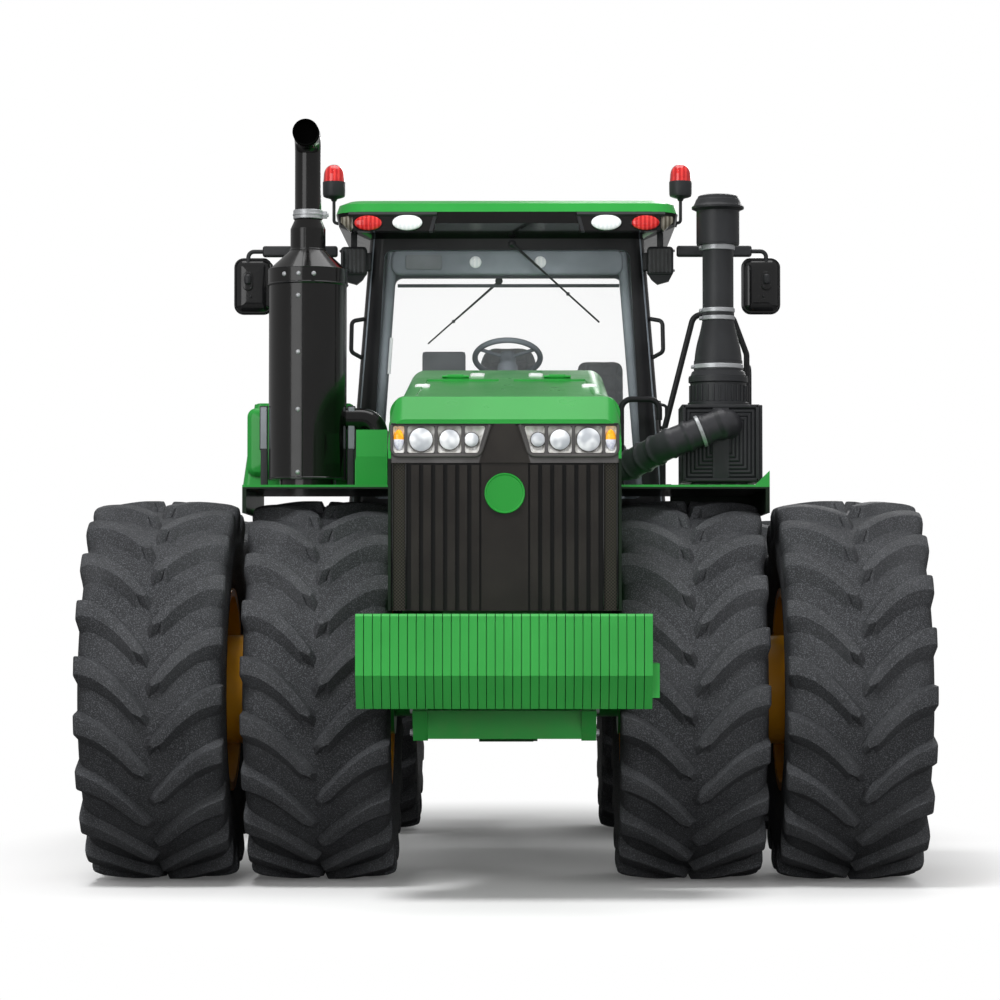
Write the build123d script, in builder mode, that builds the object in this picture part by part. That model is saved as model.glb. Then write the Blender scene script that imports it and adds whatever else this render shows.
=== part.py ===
"""Articulated four-wheel-drive farm tractor on dual wheels.

Millimetres. The front points to -Y, the tractor's left side to +X, and the tyres stand on Z = 0.
The origin is the middle of the whole tractor's box, on the ground.
"""
import os
from math import cos, hypot, radians, sin

from build123d import *

# ---------------------------------------------------------------- driving sizes
FIT = 0.3                    # gap at a seat between two fixed pieces
RUNNING_GAP = 0.8            # gap round a pin, a shaft or a sliding plate
SWING_GAP = 8.0              # least gap between panels that swing past each other

WHEELBASE = 3912.0
FRONT_REACH = 1950.0         # front axle to the face of the front weights
REAR_REACH = 1450.0          # rear axle to the end of the drawbar

# tyres and rims
TYRE_R = 1045.0              # out to the lugs' tips
TYRE_HALF_W = 395.0
BEAD_HALF_W = 340.0
LUGS = 20                    # on each half of a tyre
LUG_H = 55.0
LUG_ANGLE = 5.6              # width of a lug at the centre line, in degrees
LUG_SHOULDER_ANGLE = 8.0
LUG_SWEEP = 19.0             # how far a lug leads from centre to shoulder, in degrees
SHOULDER_DROP = 26.0         # lug tip at the shoulder, below the tip at the centre
SHOULDER_LUG_H = 85.0
RIM_SEAT_R = 530.0
RIM_FLANGE_R = 560.0
RIM_WALL = 14.0
RIM_DISC_T = 26.0
INNER_TYRE_X = 1000.0
OUTER_TYRE_X = 1875.0
HUB_DRUM_R = 300.0
HUB_DRUM_WALL = 22.0
HUB_CAP_R = 205.0
HUB_CAP_LEN = 120.0

# axles
AXLE_TUBE_R = 150.0
DIFF_R = 290.0
FINAL_DRIVE_R = 245.0
FINAL_DRIVE_X = 845.0        # outer face of the final drive
FINAL_DRIVE_LEN = 230.0
AXLE_STUB_R = 105.0
AXLE_STUB_LEN = 260.0
AXLE_PAD_Z = 1215.0          # top of the axle's mounting pads
AXLE_PAD_HALF_Y = 170.0

# front frame
RAIL_X = 280.0               # inner face of a frame rail
RAIL_T = 80.0
RAIL_BOTTOM = 1050.0
RAIL_TOP = 1400.0
RAIL_FRONT = 1380.0          # ahead of the front axle
GIRDER_HALF = 200.0          # box girder ahead of the pivot
GIRDER_BOTTOM = 740.0
GIRDER_START = 640.0         # ahead of the pivot
GIRDER_END = 160.0
EAR_R = 130.0                # articulation ears
EAR_T = 60.0
UPPER_EAR_Z = 1300.0
LOWER_EAR_Z = 740.0
PIVOT_PIN_R = 50.0
PIN_HEAD_R = 72.0
PIN_HEAD_T = 15.0
CROSSBEAM_HALF = 740.0       # beams that carry the cab
CROSSBEAM_Y = 95.0
CROSSBEAM_T = 100.0
FRONT_BEAM_BACK = 860.0     # ahead of the pivot
REAR_BEAM_BACK = 130.0

# steering cylinders
STEER_Z = 930.0
STEER_BASE_X = 470.0         # barrel's pin, on the front frame
STEER_BASE_Y = 950.0         # ahead of the pivot
STEER_EYE_X = 330.0          # rod's eye, over the rear frame
STEER_EYE_Y = 120.0          # behind the pivot
BARREL_R = 60.0
BARREL_LEN = 660.0           # pin to gland
BARREL_BORE_START = 125.0
ROD_R = 30.0
ROD_BACK_END = 370.0         # from the barrel's pin, at rest
EYE_R = 56.0
EYE_T = 64.0
STEER_PIN_R = 28.0
STEER_PLATE_T = 26.0

# drive shaft
SHAFT_R = 62.0
SHAFT_Z = 1030.0
SHAFT_CLEARANCE = 30.0
SHAFT_JOINT_GAP = 40.0       # from the pivot to the end of each shaft stub

# front weights
WEIGHTS = 34
WEIGHT_PITCH = 43.3
WEIGHT_GROOVE = 4.0
WEIGHT_TOP = 1465.0
WEIGHT_BOTTOM = 994.0
WEIGHT_KNEE = 1160.0         # below it the face leans back
WEIGHT_DEPTH = 430.0
WEIGHT_LEAN = 90.0
WEIGHT_EDGE = 12.0           # bevel along the top front edge
WEIGHT_CORE_DEPTH = 40.0     # from the face to the core that joins the plates
END_WEIGHT_INSET = 60.0
END_WEIGHT_T = 36.0
END_WEIGHT_BOTTOM = 1050.0
END_WEIGHT_TOP = 1220.0
BRACKET_X = 390.0
BRACKET_T = 75.0
BRACKET_BOTTOM = 820.0
BRACKET_LEN = 330.0          # behind the weights, along its lower edge
BRACKET_TAIL = 260.0         # and on along the rails
BRACKET_HEAD = 60.0          # under the back of the weights
BRACKET_TOP = 1340.0
PAN_BOTTOM = 830.0
PAN_RISE = 80.0
PAN_LIP = 20.0
MEMBER_REACH = 520.0         # front axle to the far side of a cross-member
MEMBER_T = 100.0
NOSE_MEMBER_T = 120.0
CLEVIS_REACH = 40.0          # of a clevis plate past its pin
CLEVIS_BACK = 30.0
STEER_BLOCK_TOP = 1110.0

# derived places
LENGTH = FRONT_REACH + WHEELBASE + REAR_REACH
FRONT_AXLE_Y = FRONT_REACH - LENGTH / 2
REAR_AXLE_Y = FRONT_AXLE_Y + WHEELBASE
PIVOT_Y = FRONT_AXLE_Y + WHEELBASE / 2
AXLE_Z = TYRE_R * cos(radians(LUG_ANGLE / 2))    # each tyre stands on the flat of a lug
FRONT_FACE_Y = FRONT_AXLE_Y - FRONT_REACH
REAR_END_Y = REAR_AXLE_Y + REAR_REACH
SHAFT_TUNNEL_TOP = SHAFT_Z + SHAFT_R + SHAFT_CLEARANCE

os.makedirs("parts", exist_ok=True)


# ---------------------------------------------------------------- small tools for the builders
def block(x, y, z, mode=Mode.ADD):
    """Box between the pairs x, y and z, in the sub-part being built."""
    with Locations((sum(x) / 2, sum(y) / 2, sum(z) / 2)):
        Box(abs(x[1] - x[0]), abs(y[1] - y[0]), abs(z[1] - z[0]), mode=mode)


def bar(start, end, radius, bore=0.0, mode=Mode.ADD):
    """Round bar, or a tube where it has a bore, from one point to another."""
    along = Vector(*end) - Vector(*start)
    with BuildSketch(Plane(origin=start, z_dir=along)) as section:
        Circle(radius)
        if bore:
            Circle(bore, mode=Mode.SUBTRACT)
    extrude(section.sketch, amount=along.length, mode=mode)


def cone(start, end, radius, end_radius):
    """Truncated cone from one point to another."""
    along = Vector(*end) - Vector(*start)
    with BuildSketch(Plane(origin=start, z_dir=along)) as first:
        Circle(radius)
    with BuildSketch(Plane(origin=end, z_dir=along)) as last:
        Circle(end_radius)
    loft([first.sketch, last.sketch])


def pipe(points, radius, bend):
    """Round tube along straight runs joined by arcs of one bend radius."""
    with BuildLine() as path:
        FilletPolyline(*points, radius=bend)
    with BuildSketch(Plane(origin=path.line @ 0, z_dir=path.line % 0)) as section:
        Circle(radius)
    sweep(section.sketch, path=path.line)


def side_plate(x, outline, mode=Mode.ADD):
    """Plate across the pair x, with an outline of (y, z) points."""
    with BuildSketch(Plane(origin=(x[0], 0, 0), x_dir=(0, 1, 0), z_dir=(1, 0, 0))) as section:
        with BuildLine():
            Polyline(*outline, close=True)
        make_face()
    extrude(section.sketch, amount=x[1] - x[0], mode=mode)


def level_plate(z, outline, mode=Mode.ADD):
    """Plate across the pair z, with an outline of (x, y) points."""
    with BuildSketch(Plane.XY.offset(z[0])) as section:
        with BuildLine():
            Polyline(*outline, close=True)
        make_face()
    extrude(section.sketch, amount=z[1] - z[0], mode=mode)


def finish(builder, name):
    """Label a finished sub-part and write its STEP file."""
    builder.part.label = name
    export_step(builder.part, f"parts/{name}.step")


# ---------------------------------------------------------------- wheels
def tyre_point(x, radius, angle, axle_y):
    """Point of a tyre. The angle is 0 at the front and grows upwards, in degrees."""
    turn = radians(angle)
    return (x, axle_y - radius * cos(turn), AXLE_Z + radius * sin(turn))


def lugged_tyre(centre_x, axle_y):
    """Tyre of flat facets: straight lugs lead from the centre line up to each shoulder."""
    pitch = 360 / LUGS
    root_r = TYRE_R - LUG_H
    shoulder_tip = TYRE_R - SHOULDER_DROP
    shoulder_root = shoulder_tip - SHOULDER_LUG_H
    bead_r = (RIM_SEAT_R + FIT) / cos(radians(pitch / 2))
    facets = []
    for side in (1, -1):
        shift = 0 if side == 1 else pitch / 2
        for k in range(LUGS):
            a = k * pitch + shift
            s = a + LUG_SWEEP

            def mid(radius, angle):
                return tyre_point(centre_x, radius, angle, axle_y)

            def edge(radius, angle):
                return tyre_point(centre_x + side * TYRE_HALF_W, radius, angle, axle_y)

            def bead(angle):
                return tyre_point(centre_x + side * BEAD_HALF_W, bead_r, angle, axle_y)

            low, high = a - LUG_ANGLE / 2, a + LUG_ANGLE / 2
            s_low, s_high = s - LUG_SHOULDER_ANGLE / 2, s + LUG_SHOULDER_ANGLE / 2
            m = [mid(root_r, low), mid(TYRE_R, low), mid(TYRE_R, high), mid(root_r, high)]
            e = [edge(shoulder_root, s_low), edge(shoulder_tip, s_low),
                 edge(shoulder_tip, s_high), edge(shoulder_root, s_high)]
            next_m = mid(root_r, low + pitch)
            next_e = edge(shoulder_root, s_low + pitch)
            gap = [mid(root_r, low + pitch / 2), mid(root_r, high + pitch / 2)]
            facets.append(m)                                       # lug's end at the centre line
            for i in range(3):                                     # lug's two flanks and its top
                facets.append([m[i], m[i + 1], e[i]])
                facets.append([m[i + 1], e[i + 1], e[i]])
            facets += [[m[3], gap[0], e[3]], [gap[0], gap[1], e[3]],
                       [gap[1], next_e, e[3]], [gap[1], next_m, next_e]]
            facets += [[bead(s), e[0], e[1]], [bead(s), e[1], e[2]], [bead(s), e[2], e[3]],
                       [bead(s), e[3], bead(s + pitch)], [e[3], next_e, bead(s + pitch)]]
            other = tyre_point(centre_x - side * BEAD_HALF_W, bead_r, s + pitch / 2, axle_y)
            facets.append([bead(s), bead(s + pitch), other])       # bore, over the rim's seat
    return Solid(Shell([Face(Wire.make_polygon(f, close=True)) for f in facets]))


def wheel_disc(side, x, outer, inner, axle_y, mode=Mode.ADD):
    """Round plate or drum on a wheel's axis, across the pair x, counted outwards."""
    bar((side * x[0], axle_y, AXLE_Z), (side * x[1], axle_y, AXLE_Z), outer, inner, mode)


HUB_FACE_X = FINAL_DRIVE_X + SWING_GAP
OUTER_DISC_X = OUTER_TYRE_X + 20.0
CORNERS = [  # name, side, axle
    ("front_left", 1, FRONT_AXLE_Y),
    ("front_right", -1, FRONT_AXLE_Y),
    ("rear_left", 1, REAR_AXLE_Y),
    ("rear_right", -1, REAR_AXLE_Y),
]
for corner, side, axle_y in CORNERS:
    with BuildPart() as tyres:
        for tyre_x in (INNER_TYRE_X, OUTER_TYRE_X):
            add(lugged_tyre(side * tyre_x, axle_y))
    finish(tyres, f"tyres_{corner}")

    with BuildPart() as rims:
        for tyre_x in (INNER_TYRE_X, OUTER_TYRE_X):
            half = BEAD_HALF_W + 5 + RIM_WALL
            wheel_disc(side, (tyre_x - half, tyre_x + half), RIM_SEAT_R, RIM_SEAT_R - RIM_WALL, axle_y)
            for lip in (tyre_x - half, tyre_x + half - RIM_WALL):
                wheel_disc(side, (lip, lip + RIM_WALL), RIM_FLANGE_R, RIM_SEAT_R - RIM_WALL, axle_y)
        for disc_x in (HUB_FACE_X, OUTER_DISC_X):
            wheel_disc(side, (disc_x, disc_x + RIM_DISC_T), RIM_SEAT_R - RIM_WALL / 2, 0, axle_y)
        wheel_disc(side, (HUB_FACE_X, OUTER_DISC_X + RIM_DISC_T), HUB_DRUM_R,
                   HUB_DRUM_R - HUB_DRUM_WALL, axle_y)
        wheel_disc(side, (HUB_FACE_X, HUB_FACE_X + AXLE_STUB_LEN), AXLE_STUB_R + HUB_DRUM_WALL, 0, axle_y)
        wheel_disc(side, (HUB_FACE_X - 1, HUB_FACE_X + AXLE_STUB_LEN), AXLE_STUB_R + RUNNING_GAP, 0,
                   axle_y, Mode.SUBTRACT)
        wheel_disc(side, (OUTER_DISC_X, OUTER_DISC_X + HUB_CAP_LEN), HUB_CAP_R, 0, axle_y)
    finish(rims, f"rims_{corner}")

for name, axle_y in (("front_axle", FRONT_AXLE_Y), ("rear_axle", REAR_AXLE_Y)):
    with BuildPart() as axle:
        reach = FINAL_DRIVE_X - FINAL_DRIVE_LEN
        bar((-reach, axle_y, AXLE_Z), (reach, axle_y, AXLE_Z), AXLE_TUBE_R)
        bar((-AXLE_TUBE_R, axle_y, AXLE_Z), (AXLE_TUBE_R, axle_y, AXLE_Z), DIFF_R)
        for side in (1, -1):
            wheel_disc(side, (reach, FINAL_DRIVE_X), FINAL_DRIVE_R, 0, axle_y)
            wheel_disc(side, (FINAL_DRIVE_X, HUB_FACE_X + AXLE_STUB_LEN - SWING_GAP), AXLE_STUB_R, 0, axle_y)
            pad_x = sorted((side * RAIL_X, side * (RAIL_X + RAIL_T)))
            block(pad_x, (axle_y - AXLE_PAD_HALF_Y, axle_y + AXLE_PAD_HALF_Y), (AXLE_Z, AXLE_PAD_Z))
    finish(axle, name)


# ---------------------------------------------------------------- front frame
def mirrored(x):
    """The pair x on the left side and on the right side."""
    return (x, (-x[1], -x[0]))


def hinge_ear(z, back_y, bore):
    """Ear of the articulation, rounded about its pin, reaching to back_y."""
    with BuildSketch(Plane.XY.offset(z)) as section:
        with Locations((0, PIVOT_Y)):
            Circle(EAR_R)
        with Locations((0, (PIVOT_Y + back_y) / 2)):
            Rectangle(2 * EAR_R, abs(back_y - PIVOT_Y))
        if bore:
            with Locations((0, PIVOT_Y)):
                Circle(bore, mode=Mode.SUBTRACT)
    extrude(section.sketch, amount=EAR_T)


GIRDER_Y = (PIVOT_Y - GIRDER_START, PIVOT_Y - GIRDER_END)
BEAM_YS = (PIVOT_Y - FRONT_BEAM_BACK, PIVOT_Y - REAR_BEAM_BACK)
BEAM_Z = (RAIL_TOP, RAIL_TOP + CROSSBEAM_T)
STEER_BASE = (STEER_BASE_X, PIVOT_Y - STEER_BASE_Y)
STEER_EYE = (STEER_EYE_X, PIVOT_Y + STEER_EYE_Y)
WEIGHT_BACK_Y = FRONT_FACE_Y + WEIGHT_DEPTH
BRACKET_FRONT_Y = WEIGHT_BACK_Y - BRACKET_HEAD
BRACKET_BACK_Y = WEIGHT_BACK_Y + BRACKET_LEN
PAN_FRONT_Y = BRACKET_FRONT_Y + 1.5 * BRACKET_HEAD
HANGER_LIP_Z = WEIGHT_BOTTOM - PAN_LIP
RAIL_FRONT_Y = FRONT_AXLE_Y - RAIL_FRONT
STEER_CLEVIS_GAP = EYE_T / 2 + RUNNING_GAP

with BuildPart() as front_frame:
    for rail in mirrored((RAIL_X, RAIL_X + RAIL_T)):
        block(rail, (RAIL_FRONT_Y, PIVOT_Y - GIRDER_END), (RAIL_BOTTOM, RAIL_TOP))
        block(rail, (FRONT_AXLE_Y - AXLE_PAD_HALF_Y - FIT, FRONT_AXLE_Y + AXLE_PAD_HALF_Y + FIT),
              (RAIL_BOTTOM, AXLE_PAD_Z), mode=Mode.SUBTRACT)
    # box girder and the upper frame over the articulation
    block((-GIRDER_HALF, GIRDER_HALF), GIRDER_Y, (GIRDER_BOTTOM, RAIL_TOP))
    block((-RAIL_X - RAIL_T, RAIL_X + RAIL_T), GIRDER_Y, (UPPER_EAR_Z, RAIL_TOP))
    hinge_ear(UPPER_EAR_Z, GIRDER_Y[1], PIVOT_PIN_R + RUNNING_GAP)
    hinge_ear(LOWER_EAR_Z, GIRDER_Y[1], PIVOT_PIN_R + RUNNING_GAP)
    bar((0, GIRDER_Y[1], SHAFT_Z), (0, PIVOT_Y - SHAFT_JOINT_GAP, SHAFT_Z), SHAFT_R)
    # beams under the cab
    for beam_y in BEAM_YS:
        block((-CROSSBEAM_HALF, CROSSBEAM_HALF), (beam_y - CROSSBEAM_Y, beam_y + CROSSBEAM_Y), BEAM_Z)
    # front cross-members, and the brackets and pan that carry the weights
    block((-RAIL_X, RAIL_X), (RAIL_FRONT_Y, RAIL_FRONT_Y + NOSE_MEMBER_T), (RAIL_BOTTOM, RAIL_TOP))
    for near, bottom in ((MEMBER_REACH - MEMBER_T, SHAFT_TUNNEL_TOP), (-MEMBER_REACH, AXLE_PAD_Z)):
        block((-RAIL_X, RAIL_X), (FRONT_AXLE_Y + near, FRONT_AXLE_Y + near + MEMBER_T), (bottom, RAIL_TOP))
    for bracket in mirrored((BRACKET_X, BRACKET_X + BRACKET_T)):
        side_plate(bracket, [
            (BRACKET_FRONT_Y + 2 * BRACKET_HEAD, BRACKET_BOTTOM),
            (BRACKET_BACK_Y, BRACKET_BOTTOM + PAN_RISE),
            (BRACKET_BACK_Y + BRACKET_TAIL, BRACKET_TOP - AXLE_PAD_HALF_Y),
            (BRACKET_BACK_Y + BRACKET_TAIL, BRACKET_TOP),
            (WEIGHT_BACK_Y + FIT, BRACKET_TOP),
            (WEIGHT_BACK_Y + FIT, HANGER_LIP_Z),
            (BRACKET_FRONT_Y, HANGER_LIP_Z),
        ])
    block((-BRACKET_X, BRACKET_X), (WEIGHT_BACK_Y + FIT, WEIGHT_BACK_Y + FIT + BRACKET_T),
          (WEIGHT_BOTTOM, BRACKET_TOP))
    block((-BRACKET_X, BRACKET_X), (RAIL_FRONT_Y - PAN_LIP, RAIL_FRONT_Y + NOSE_MEMBER_T),
          (RAIL_BOTTOM, BRACKET_TOP))
    side_plate((-BRACKET_X, BRACKET_X), [
        (PAN_FRONT_Y, PAN_BOTTOM), (BRACKET_BACK_Y, PAN_BOTTOM + PAN_RISE),
        (BRACKET_BACK_Y, PAN_BOTTOM + PAN_RISE + PAN_LIP), (PAN_FRONT_Y + PAN_LIP, HANGER_LIP_Z),
        (PAN_FRONT_Y, HANGER_LIP_Z),
    ])
    # clevis plates of the steering cylinders
    clevis_bottom = STEER_Z - STEER_CLEVIS_GAP - STEER_PLATE_T
    clevis_front = STEER_BASE[1] - EYE_R
    for side in (1, -1):
        root_x = side * (GIRDER_HALF - CLEVIS_REACH)
        tip_x = side * (STEER_BASE[0] + CLEVIS_REACH)
        for z in (clevis_bottom, STEER_Z + STEER_CLEVIS_GAP):
            block(sorted((root_x, tip_x)), (clevis_front, STEER_BASE[1] + CLEVIS_BACK),
                  (z, z + STEER_PLATE_T))
        bar((side * STEER_BASE[0], STEER_BASE[1], clevis_bottom),
            (side * STEER_BASE[0], STEER_BASE[1], STEER_Z + STEER_CLEVIS_GAP + STEER_PLATE_T), STEER_PIN_R)
        block(sorted((root_x, side * (RAIL_X + RAIL_T))), (clevis_front, clevis_front + CLEVIS_BACK),
              (clevis_bottom, RAIL_BOTTOM + STEER_PLATE_T))
    block((-GIRDER_HALF, GIRDER_HALF), (clevis_front, GIRDER_Y[0]), (clevis_bottom, STEER_BLOCK_TOP))
finish(front_frame, "front_frame")

# ---------------------------------------------------------------- front weights
with BuildPart() as front_weights:
    outline = [
        (FRONT_FACE_Y, WEIGHT_TOP - WEIGHT_EDGE), (FRONT_FACE_Y, WEIGHT_KNEE),
        (FRONT_FACE_Y + WEIGHT_LEAN, WEIGHT_BOTTOM), (WEIGHT_BACK_Y, WEIGHT_BOTTOM),
        (WEIGHT_BACK_Y, WEIGHT_TOP), (FRONT_FACE_Y + WEIGHT_EDGE, WEIGHT_TOP),
    ]
    for k in range(WEIGHTS):
        x = (k - WEIGHTS / 2) * WEIGHT_PITCH
        side_plate((x + WEIGHT_GROOVE / 2, x + WEIGHT_PITCH - WEIGHT_GROOVE / 2), outline)
    core_x = WEIGHTS / 2 * WEIGHT_PITCH - WEIGHT_GROOVE / 2
    block((-core_x, core_x), (FRONT_FACE_Y + WEIGHT_CORE_DEPTH, WEIGHT_BACK_Y - WEIGHT_CORE_DEPTH),
          (WEIGHT_KNEE, WEIGHT_TOP - WEIGHT_CORE_DEPTH))
    block((core_x, core_x + END_WEIGHT_T),
          (FRONT_FACE_Y + END_WEIGHT_INSET, WEIGHT_BACK_Y - END_WEIGHT_INSET),
          (END_WEIGHT_BOTTOM, END_WEIGHT_TOP))
finish(front_weights, "front_weights")

# ---------------------------------------------------------------- powertrain
ENGINE_HALF_W = 330.0
ENGINE_Y = (FRONT_AXLE_Y - 950.0, FRONT_AXLE_Y + 480.0)   # ahead of the cowl's bulkhead
ENGINE_TOP = 2150.0
GEARBOX_HALF_W = 250.0
GEARBOX_Z = (905.0, 1660.0)

with BuildPart() as engine:
    block((-ENGINE_HALF_W, ENGINE_HALF_W), ENGINE_Y, (RAIL_TOP, ENGINE_TOP))
finish(engine, "engine")

with BuildPart() as gearbox:
    gearbox_y = (FRONT_AXLE_Y + MEMBER_REACH + FIT, STEER_BASE[1] - EYE_R - FIT)
    block((-GEARBOX_HALF_W, GEARBOX_HALF_W), gearbox_y, GEARBOX_Z)
    bar((0, FRONT_AXLE_Y + DIFF_R + FIT, SHAFT_Z), (0, gearbox_y[0], SHAFT_Z), SHAFT_R)
finish(gearbox, "gearbox")

# ---------------------------------------------------------------- rear frame
REAR_BOX_Y = (PIVOT_Y + 300.0, PIVOT_Y + 430.0)
REAR_BOX_Z = (800.0, 1350.0)
REAR_RAIL_END = REAR_AXLE_Y + 900.0
REAR_RAIL_TOP = 1350.0
EYE_PLATE_R = 100.0
HANGER_HALF_W = 190.0
HANGER_Y = (REAR_AXLE_Y + 420.0, REAR_AXLE_Y + 640.0)
DRAWBAR_HALF_W = 70.0
DRAWBAR_Z = (595.0, 650.0)
HANGER_LIP = 20.0            # of the hanger, under the bar
DRAWBAR_PIN_R = 26.0
DRAWBAR_TIP = 95.0           # from the pin to the end of the bar
DRAWBAR_START = 60.0         # behind the rear axle
REAR_MEMBER_T = 90.0
COUPLER_PLATE_T = 40.0
COUPLER_PLATE_TOP = 1560.0
COUPLER_XS = (-210.0, -70.0, 70.0, 210.0)
COUPLER_ZS = (1180.0, 1330.0)
COUPLER_R = 42.0
COUPLER_LEN = 110.0

EYE_PLATE_TOP = STEER_Z - EYE_T / 2 - RUNNING_GAP
with BuildPart() as rear_frame:
    block((-RAIL_X - RAIL_T, RAIL_X + RAIL_T), REAR_BOX_Y, REAR_BOX_Z)
    bar((0, REAR_BOX_Y[0] - 1, SHAFT_Z), (0, REAR_BOX_Y[1] + 1, SHAFT_Z), SHAFT_R + SHAFT_CLEARANCE,
        mode=Mode.SUBTRACT)
    for rail in mirrored((RAIL_X, RAIL_X + RAIL_T)):
        block(rail, (REAR_BOX_Y[0], REAR_RAIL_END), (RAIL_BOTTOM, REAR_RAIL_TOP))
        block(rail, (REAR_AXLE_Y - AXLE_PAD_HALF_Y - FIT, REAR_AXLE_Y + AXLE_PAD_HALF_Y + FIT),
              (RAIL_BOTTOM, AXLE_PAD_Z), mode=Mode.SUBTRACT)
    for y in (REAR_AXLE_Y - MEMBER_REACH, REAR_AXLE_Y + MEMBER_REACH - MEMBER_T,
              REAR_RAIL_END - REAR_MEMBER_T):
        block((-RAIL_X, RAIL_X), (y, y + REAR_MEMBER_T), (SHAFT_TUNNEL_TOP, REAR_RAIL_TOP))
    # articulation ears and pins
    upper = UPPER_EAR_Z - RUNNING_GAP - EAR_T
    lower = LOWER_EAR_Z + EAR_T + RUNNING_GAP
    for z in (upper, lower):
        hinge_ear(z, REAR_BOX_Y[0], 0)
    pin_top = UPPER_EAR_Z + EAR_T + RUNNING_GAP
    pin_foot = LOWER_EAR_Z - RUNNING_GAP
    bar((0, PIVOT_Y, upper), (0, PIVOT_Y, pin_top), PIVOT_PIN_R)
    bar((0, PIVOT_Y, pin_top), (0, PIVOT_Y, pin_top + PIN_HEAD_T), PIN_HEAD_R)
    bar((0, PIVOT_Y, pin_foot), (0, PIVOT_Y, lower), PIVOT_PIN_R)
    bar((0, PIVOT_Y, pin_foot - PIN_HEAD_T), (0, PIVOT_Y, pin_foot), PIN_HEAD_R)
    # plates under the eyes of the steering cylinders
    for side in (1, -1):
        bar((side * STEER_EYE[0], STEER_EYE[1], EYE_PLATE_TOP - STEER_PLATE_T),
            (side * STEER_EYE[0], STEER_EYE[1], EYE_PLATE_TOP), EYE_PLATE_R)
        plate = sorted((side * (STEER_EYE[0] - EYE_PLATE_R), side * (RAIL_X + RAIL_T)))
        block(plate, (STEER_EYE[1], REAR_BOX_Y[0]), (EYE_PLATE_TOP - STEER_PLATE_T, EYE_PLATE_TOP))
    # hanger of the drawbar
    block((-RAIL_X, RAIL_X), HANGER_Y, (RAIL_BOTTOM, AXLE_PAD_Z))
    block((-HANGER_HALF_W, HANGER_HALF_W), HANGER_Y, (DRAWBAR_Z[0] - HANGER_LIP, RAIL_BOTTOM))
    block((-DRAWBAR_HALF_W - FIT, DRAWBAR_HALF_W + FIT), (HANGER_Y[0] - 1, HANGER_Y[1] + 1),
          (DRAWBAR_Z[0], DRAWBAR_Z[1] + FIT), mode=Mode.SUBTRACT)
    # hydraulic couplers at the back
    coupler_root = REAR_RAIL_END + COUPLER_PLATE_T
    block((-RAIL_X - RAIL_T, RAIL_X + RAIL_T), (REAR_RAIL_END, coupler_root),
          (RAIL_BOTTOM, COUPLER_PLATE_TOP))
    for x in COUPLER_XS:
        for z in COUPLER_ZS:
            bar((x, coupler_root, z), (x, coupler_root + COUPLER_LEN, z), COUPLER_R)
finish(rear_frame, "rear_frame")

with BuildPart() as drawbar:
    block((-DRAWBAR_HALF_W, DRAWBAR_HALF_W), (REAR_AXLE_Y + DRAWBAR_START, REAR_END_Y - DRAWBAR_TIP),
          DRAWBAR_Z)
    bar((0, REAR_END_Y - DRAWBAR_TIP, DRAWBAR_Z[0]), (0, REAR_END_Y - DRAWBAR_TIP, DRAWBAR_Z[1]), DRAWBAR_TIP)
    bar((0, REAR_END_Y - DRAWBAR_TIP, DRAWBAR_Z[0] - 1), (0, REAR_END_Y - DRAWBAR_TIP, DRAWBAR_Z[1] + 1),
        DRAWBAR_PIN_R, mode=Mode.SUBTRACT)
finish(drawbar, "drawbar")

with BuildPart() as drive_shaft:
    bar((0, PIVOT_Y + SHAFT_JOINT_GAP, SHAFT_Z), (0, REAR_AXLE_Y - DIFF_R - FIT, SHAFT_Z), SHAFT_R)
finish(drive_shaft, "drive_shaft")

# fuel tank and fenders over the rear axle
TANK_Z = (REAR_RAIL_TOP, 2190.0)
TANK_HALF_W = 560.0
TANK_NOSE_HALF_W = 420.0
TANK_Y = (PIVOT_Y + 1080.0, REAR_RAIL_END - 60.0)
TANK_NOSE_LEN = 180.0
TANK_EDGE_R = 60.0
TANK_TOP_R = 45.0
FENDER_OUT = 1410.0
FENDER_T = 22.0
FENDER_Z = 2140.0
with BuildPart() as fuel_tank:
    level_plate(TANK_Z, [
        (-TANK_NOSE_HALF_W, TANK_Y[0]), (TANK_NOSE_HALF_W, TANK_Y[0]),
        (TANK_HALF_W, TANK_Y[0] + TANK_NOSE_LEN), (TANK_HALF_W, TANK_Y[1]),
        (-TANK_HALF_W, TANK_Y[1]), (-TANK_HALF_W, TANK_Y[0] + TANK_NOSE_LEN),
    ])
    fillet(fuel_tank.edges().filter_by(Axis.Z), TANK_EDGE_R)
    fillet(fuel_tank.faces().sort_by(Axis.Z)[-1].edges(), TANK_TOP_R)
finish(fuel_tank, "fuel_tank")

REAR_FENDER_TOP = [  # y behind the axle, z: the fender's upper side
    (-830.0, FENDER_Z), (480.0, FENDER_Z), (900.0, FENDER_Z - 230.0), (1080.0, FENDER_Z - 600.0),
]
with BuildPart() as rear_fenders:
    for across in mirrored((TANK_HALF_W + FIT, FENDER_OUT)):
        plane = Plane(origin=(across[0], REAR_AXLE_Y, 0), x_dir=(0, 1, 0), z_dir=(1, 0, 0))
        with BuildSketch(plane) as section:
            with BuildLine() as top:
                Polyline(*REAR_FENDER_TOP)
                offset(amount=-FENDER_T, side=Side.RIGHT, closed=True)
            make_face()
        extrude(section.sketch, amount=across[1] - across[0])
finish(rear_fenders, "rear_fenders")

# ---------------------------------------------------------------- steering cylinders
def along_cylinder(side, distance, z=STEER_Z):
    """Point on a cylinder's axis, at a distance from the barrel's pin."""
    run = hypot(STEER_EYE[0] - STEER_BASE[0], STEER_EYE[1] - STEER_BASE[1])
    share = distance / run
    x = STEER_BASE[0] + share * (STEER_EYE[0] - STEER_BASE[0])
    return (side * x, STEER_BASE[1] + share * (STEER_EYE[1] - STEER_BASE[1]), z)


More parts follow.
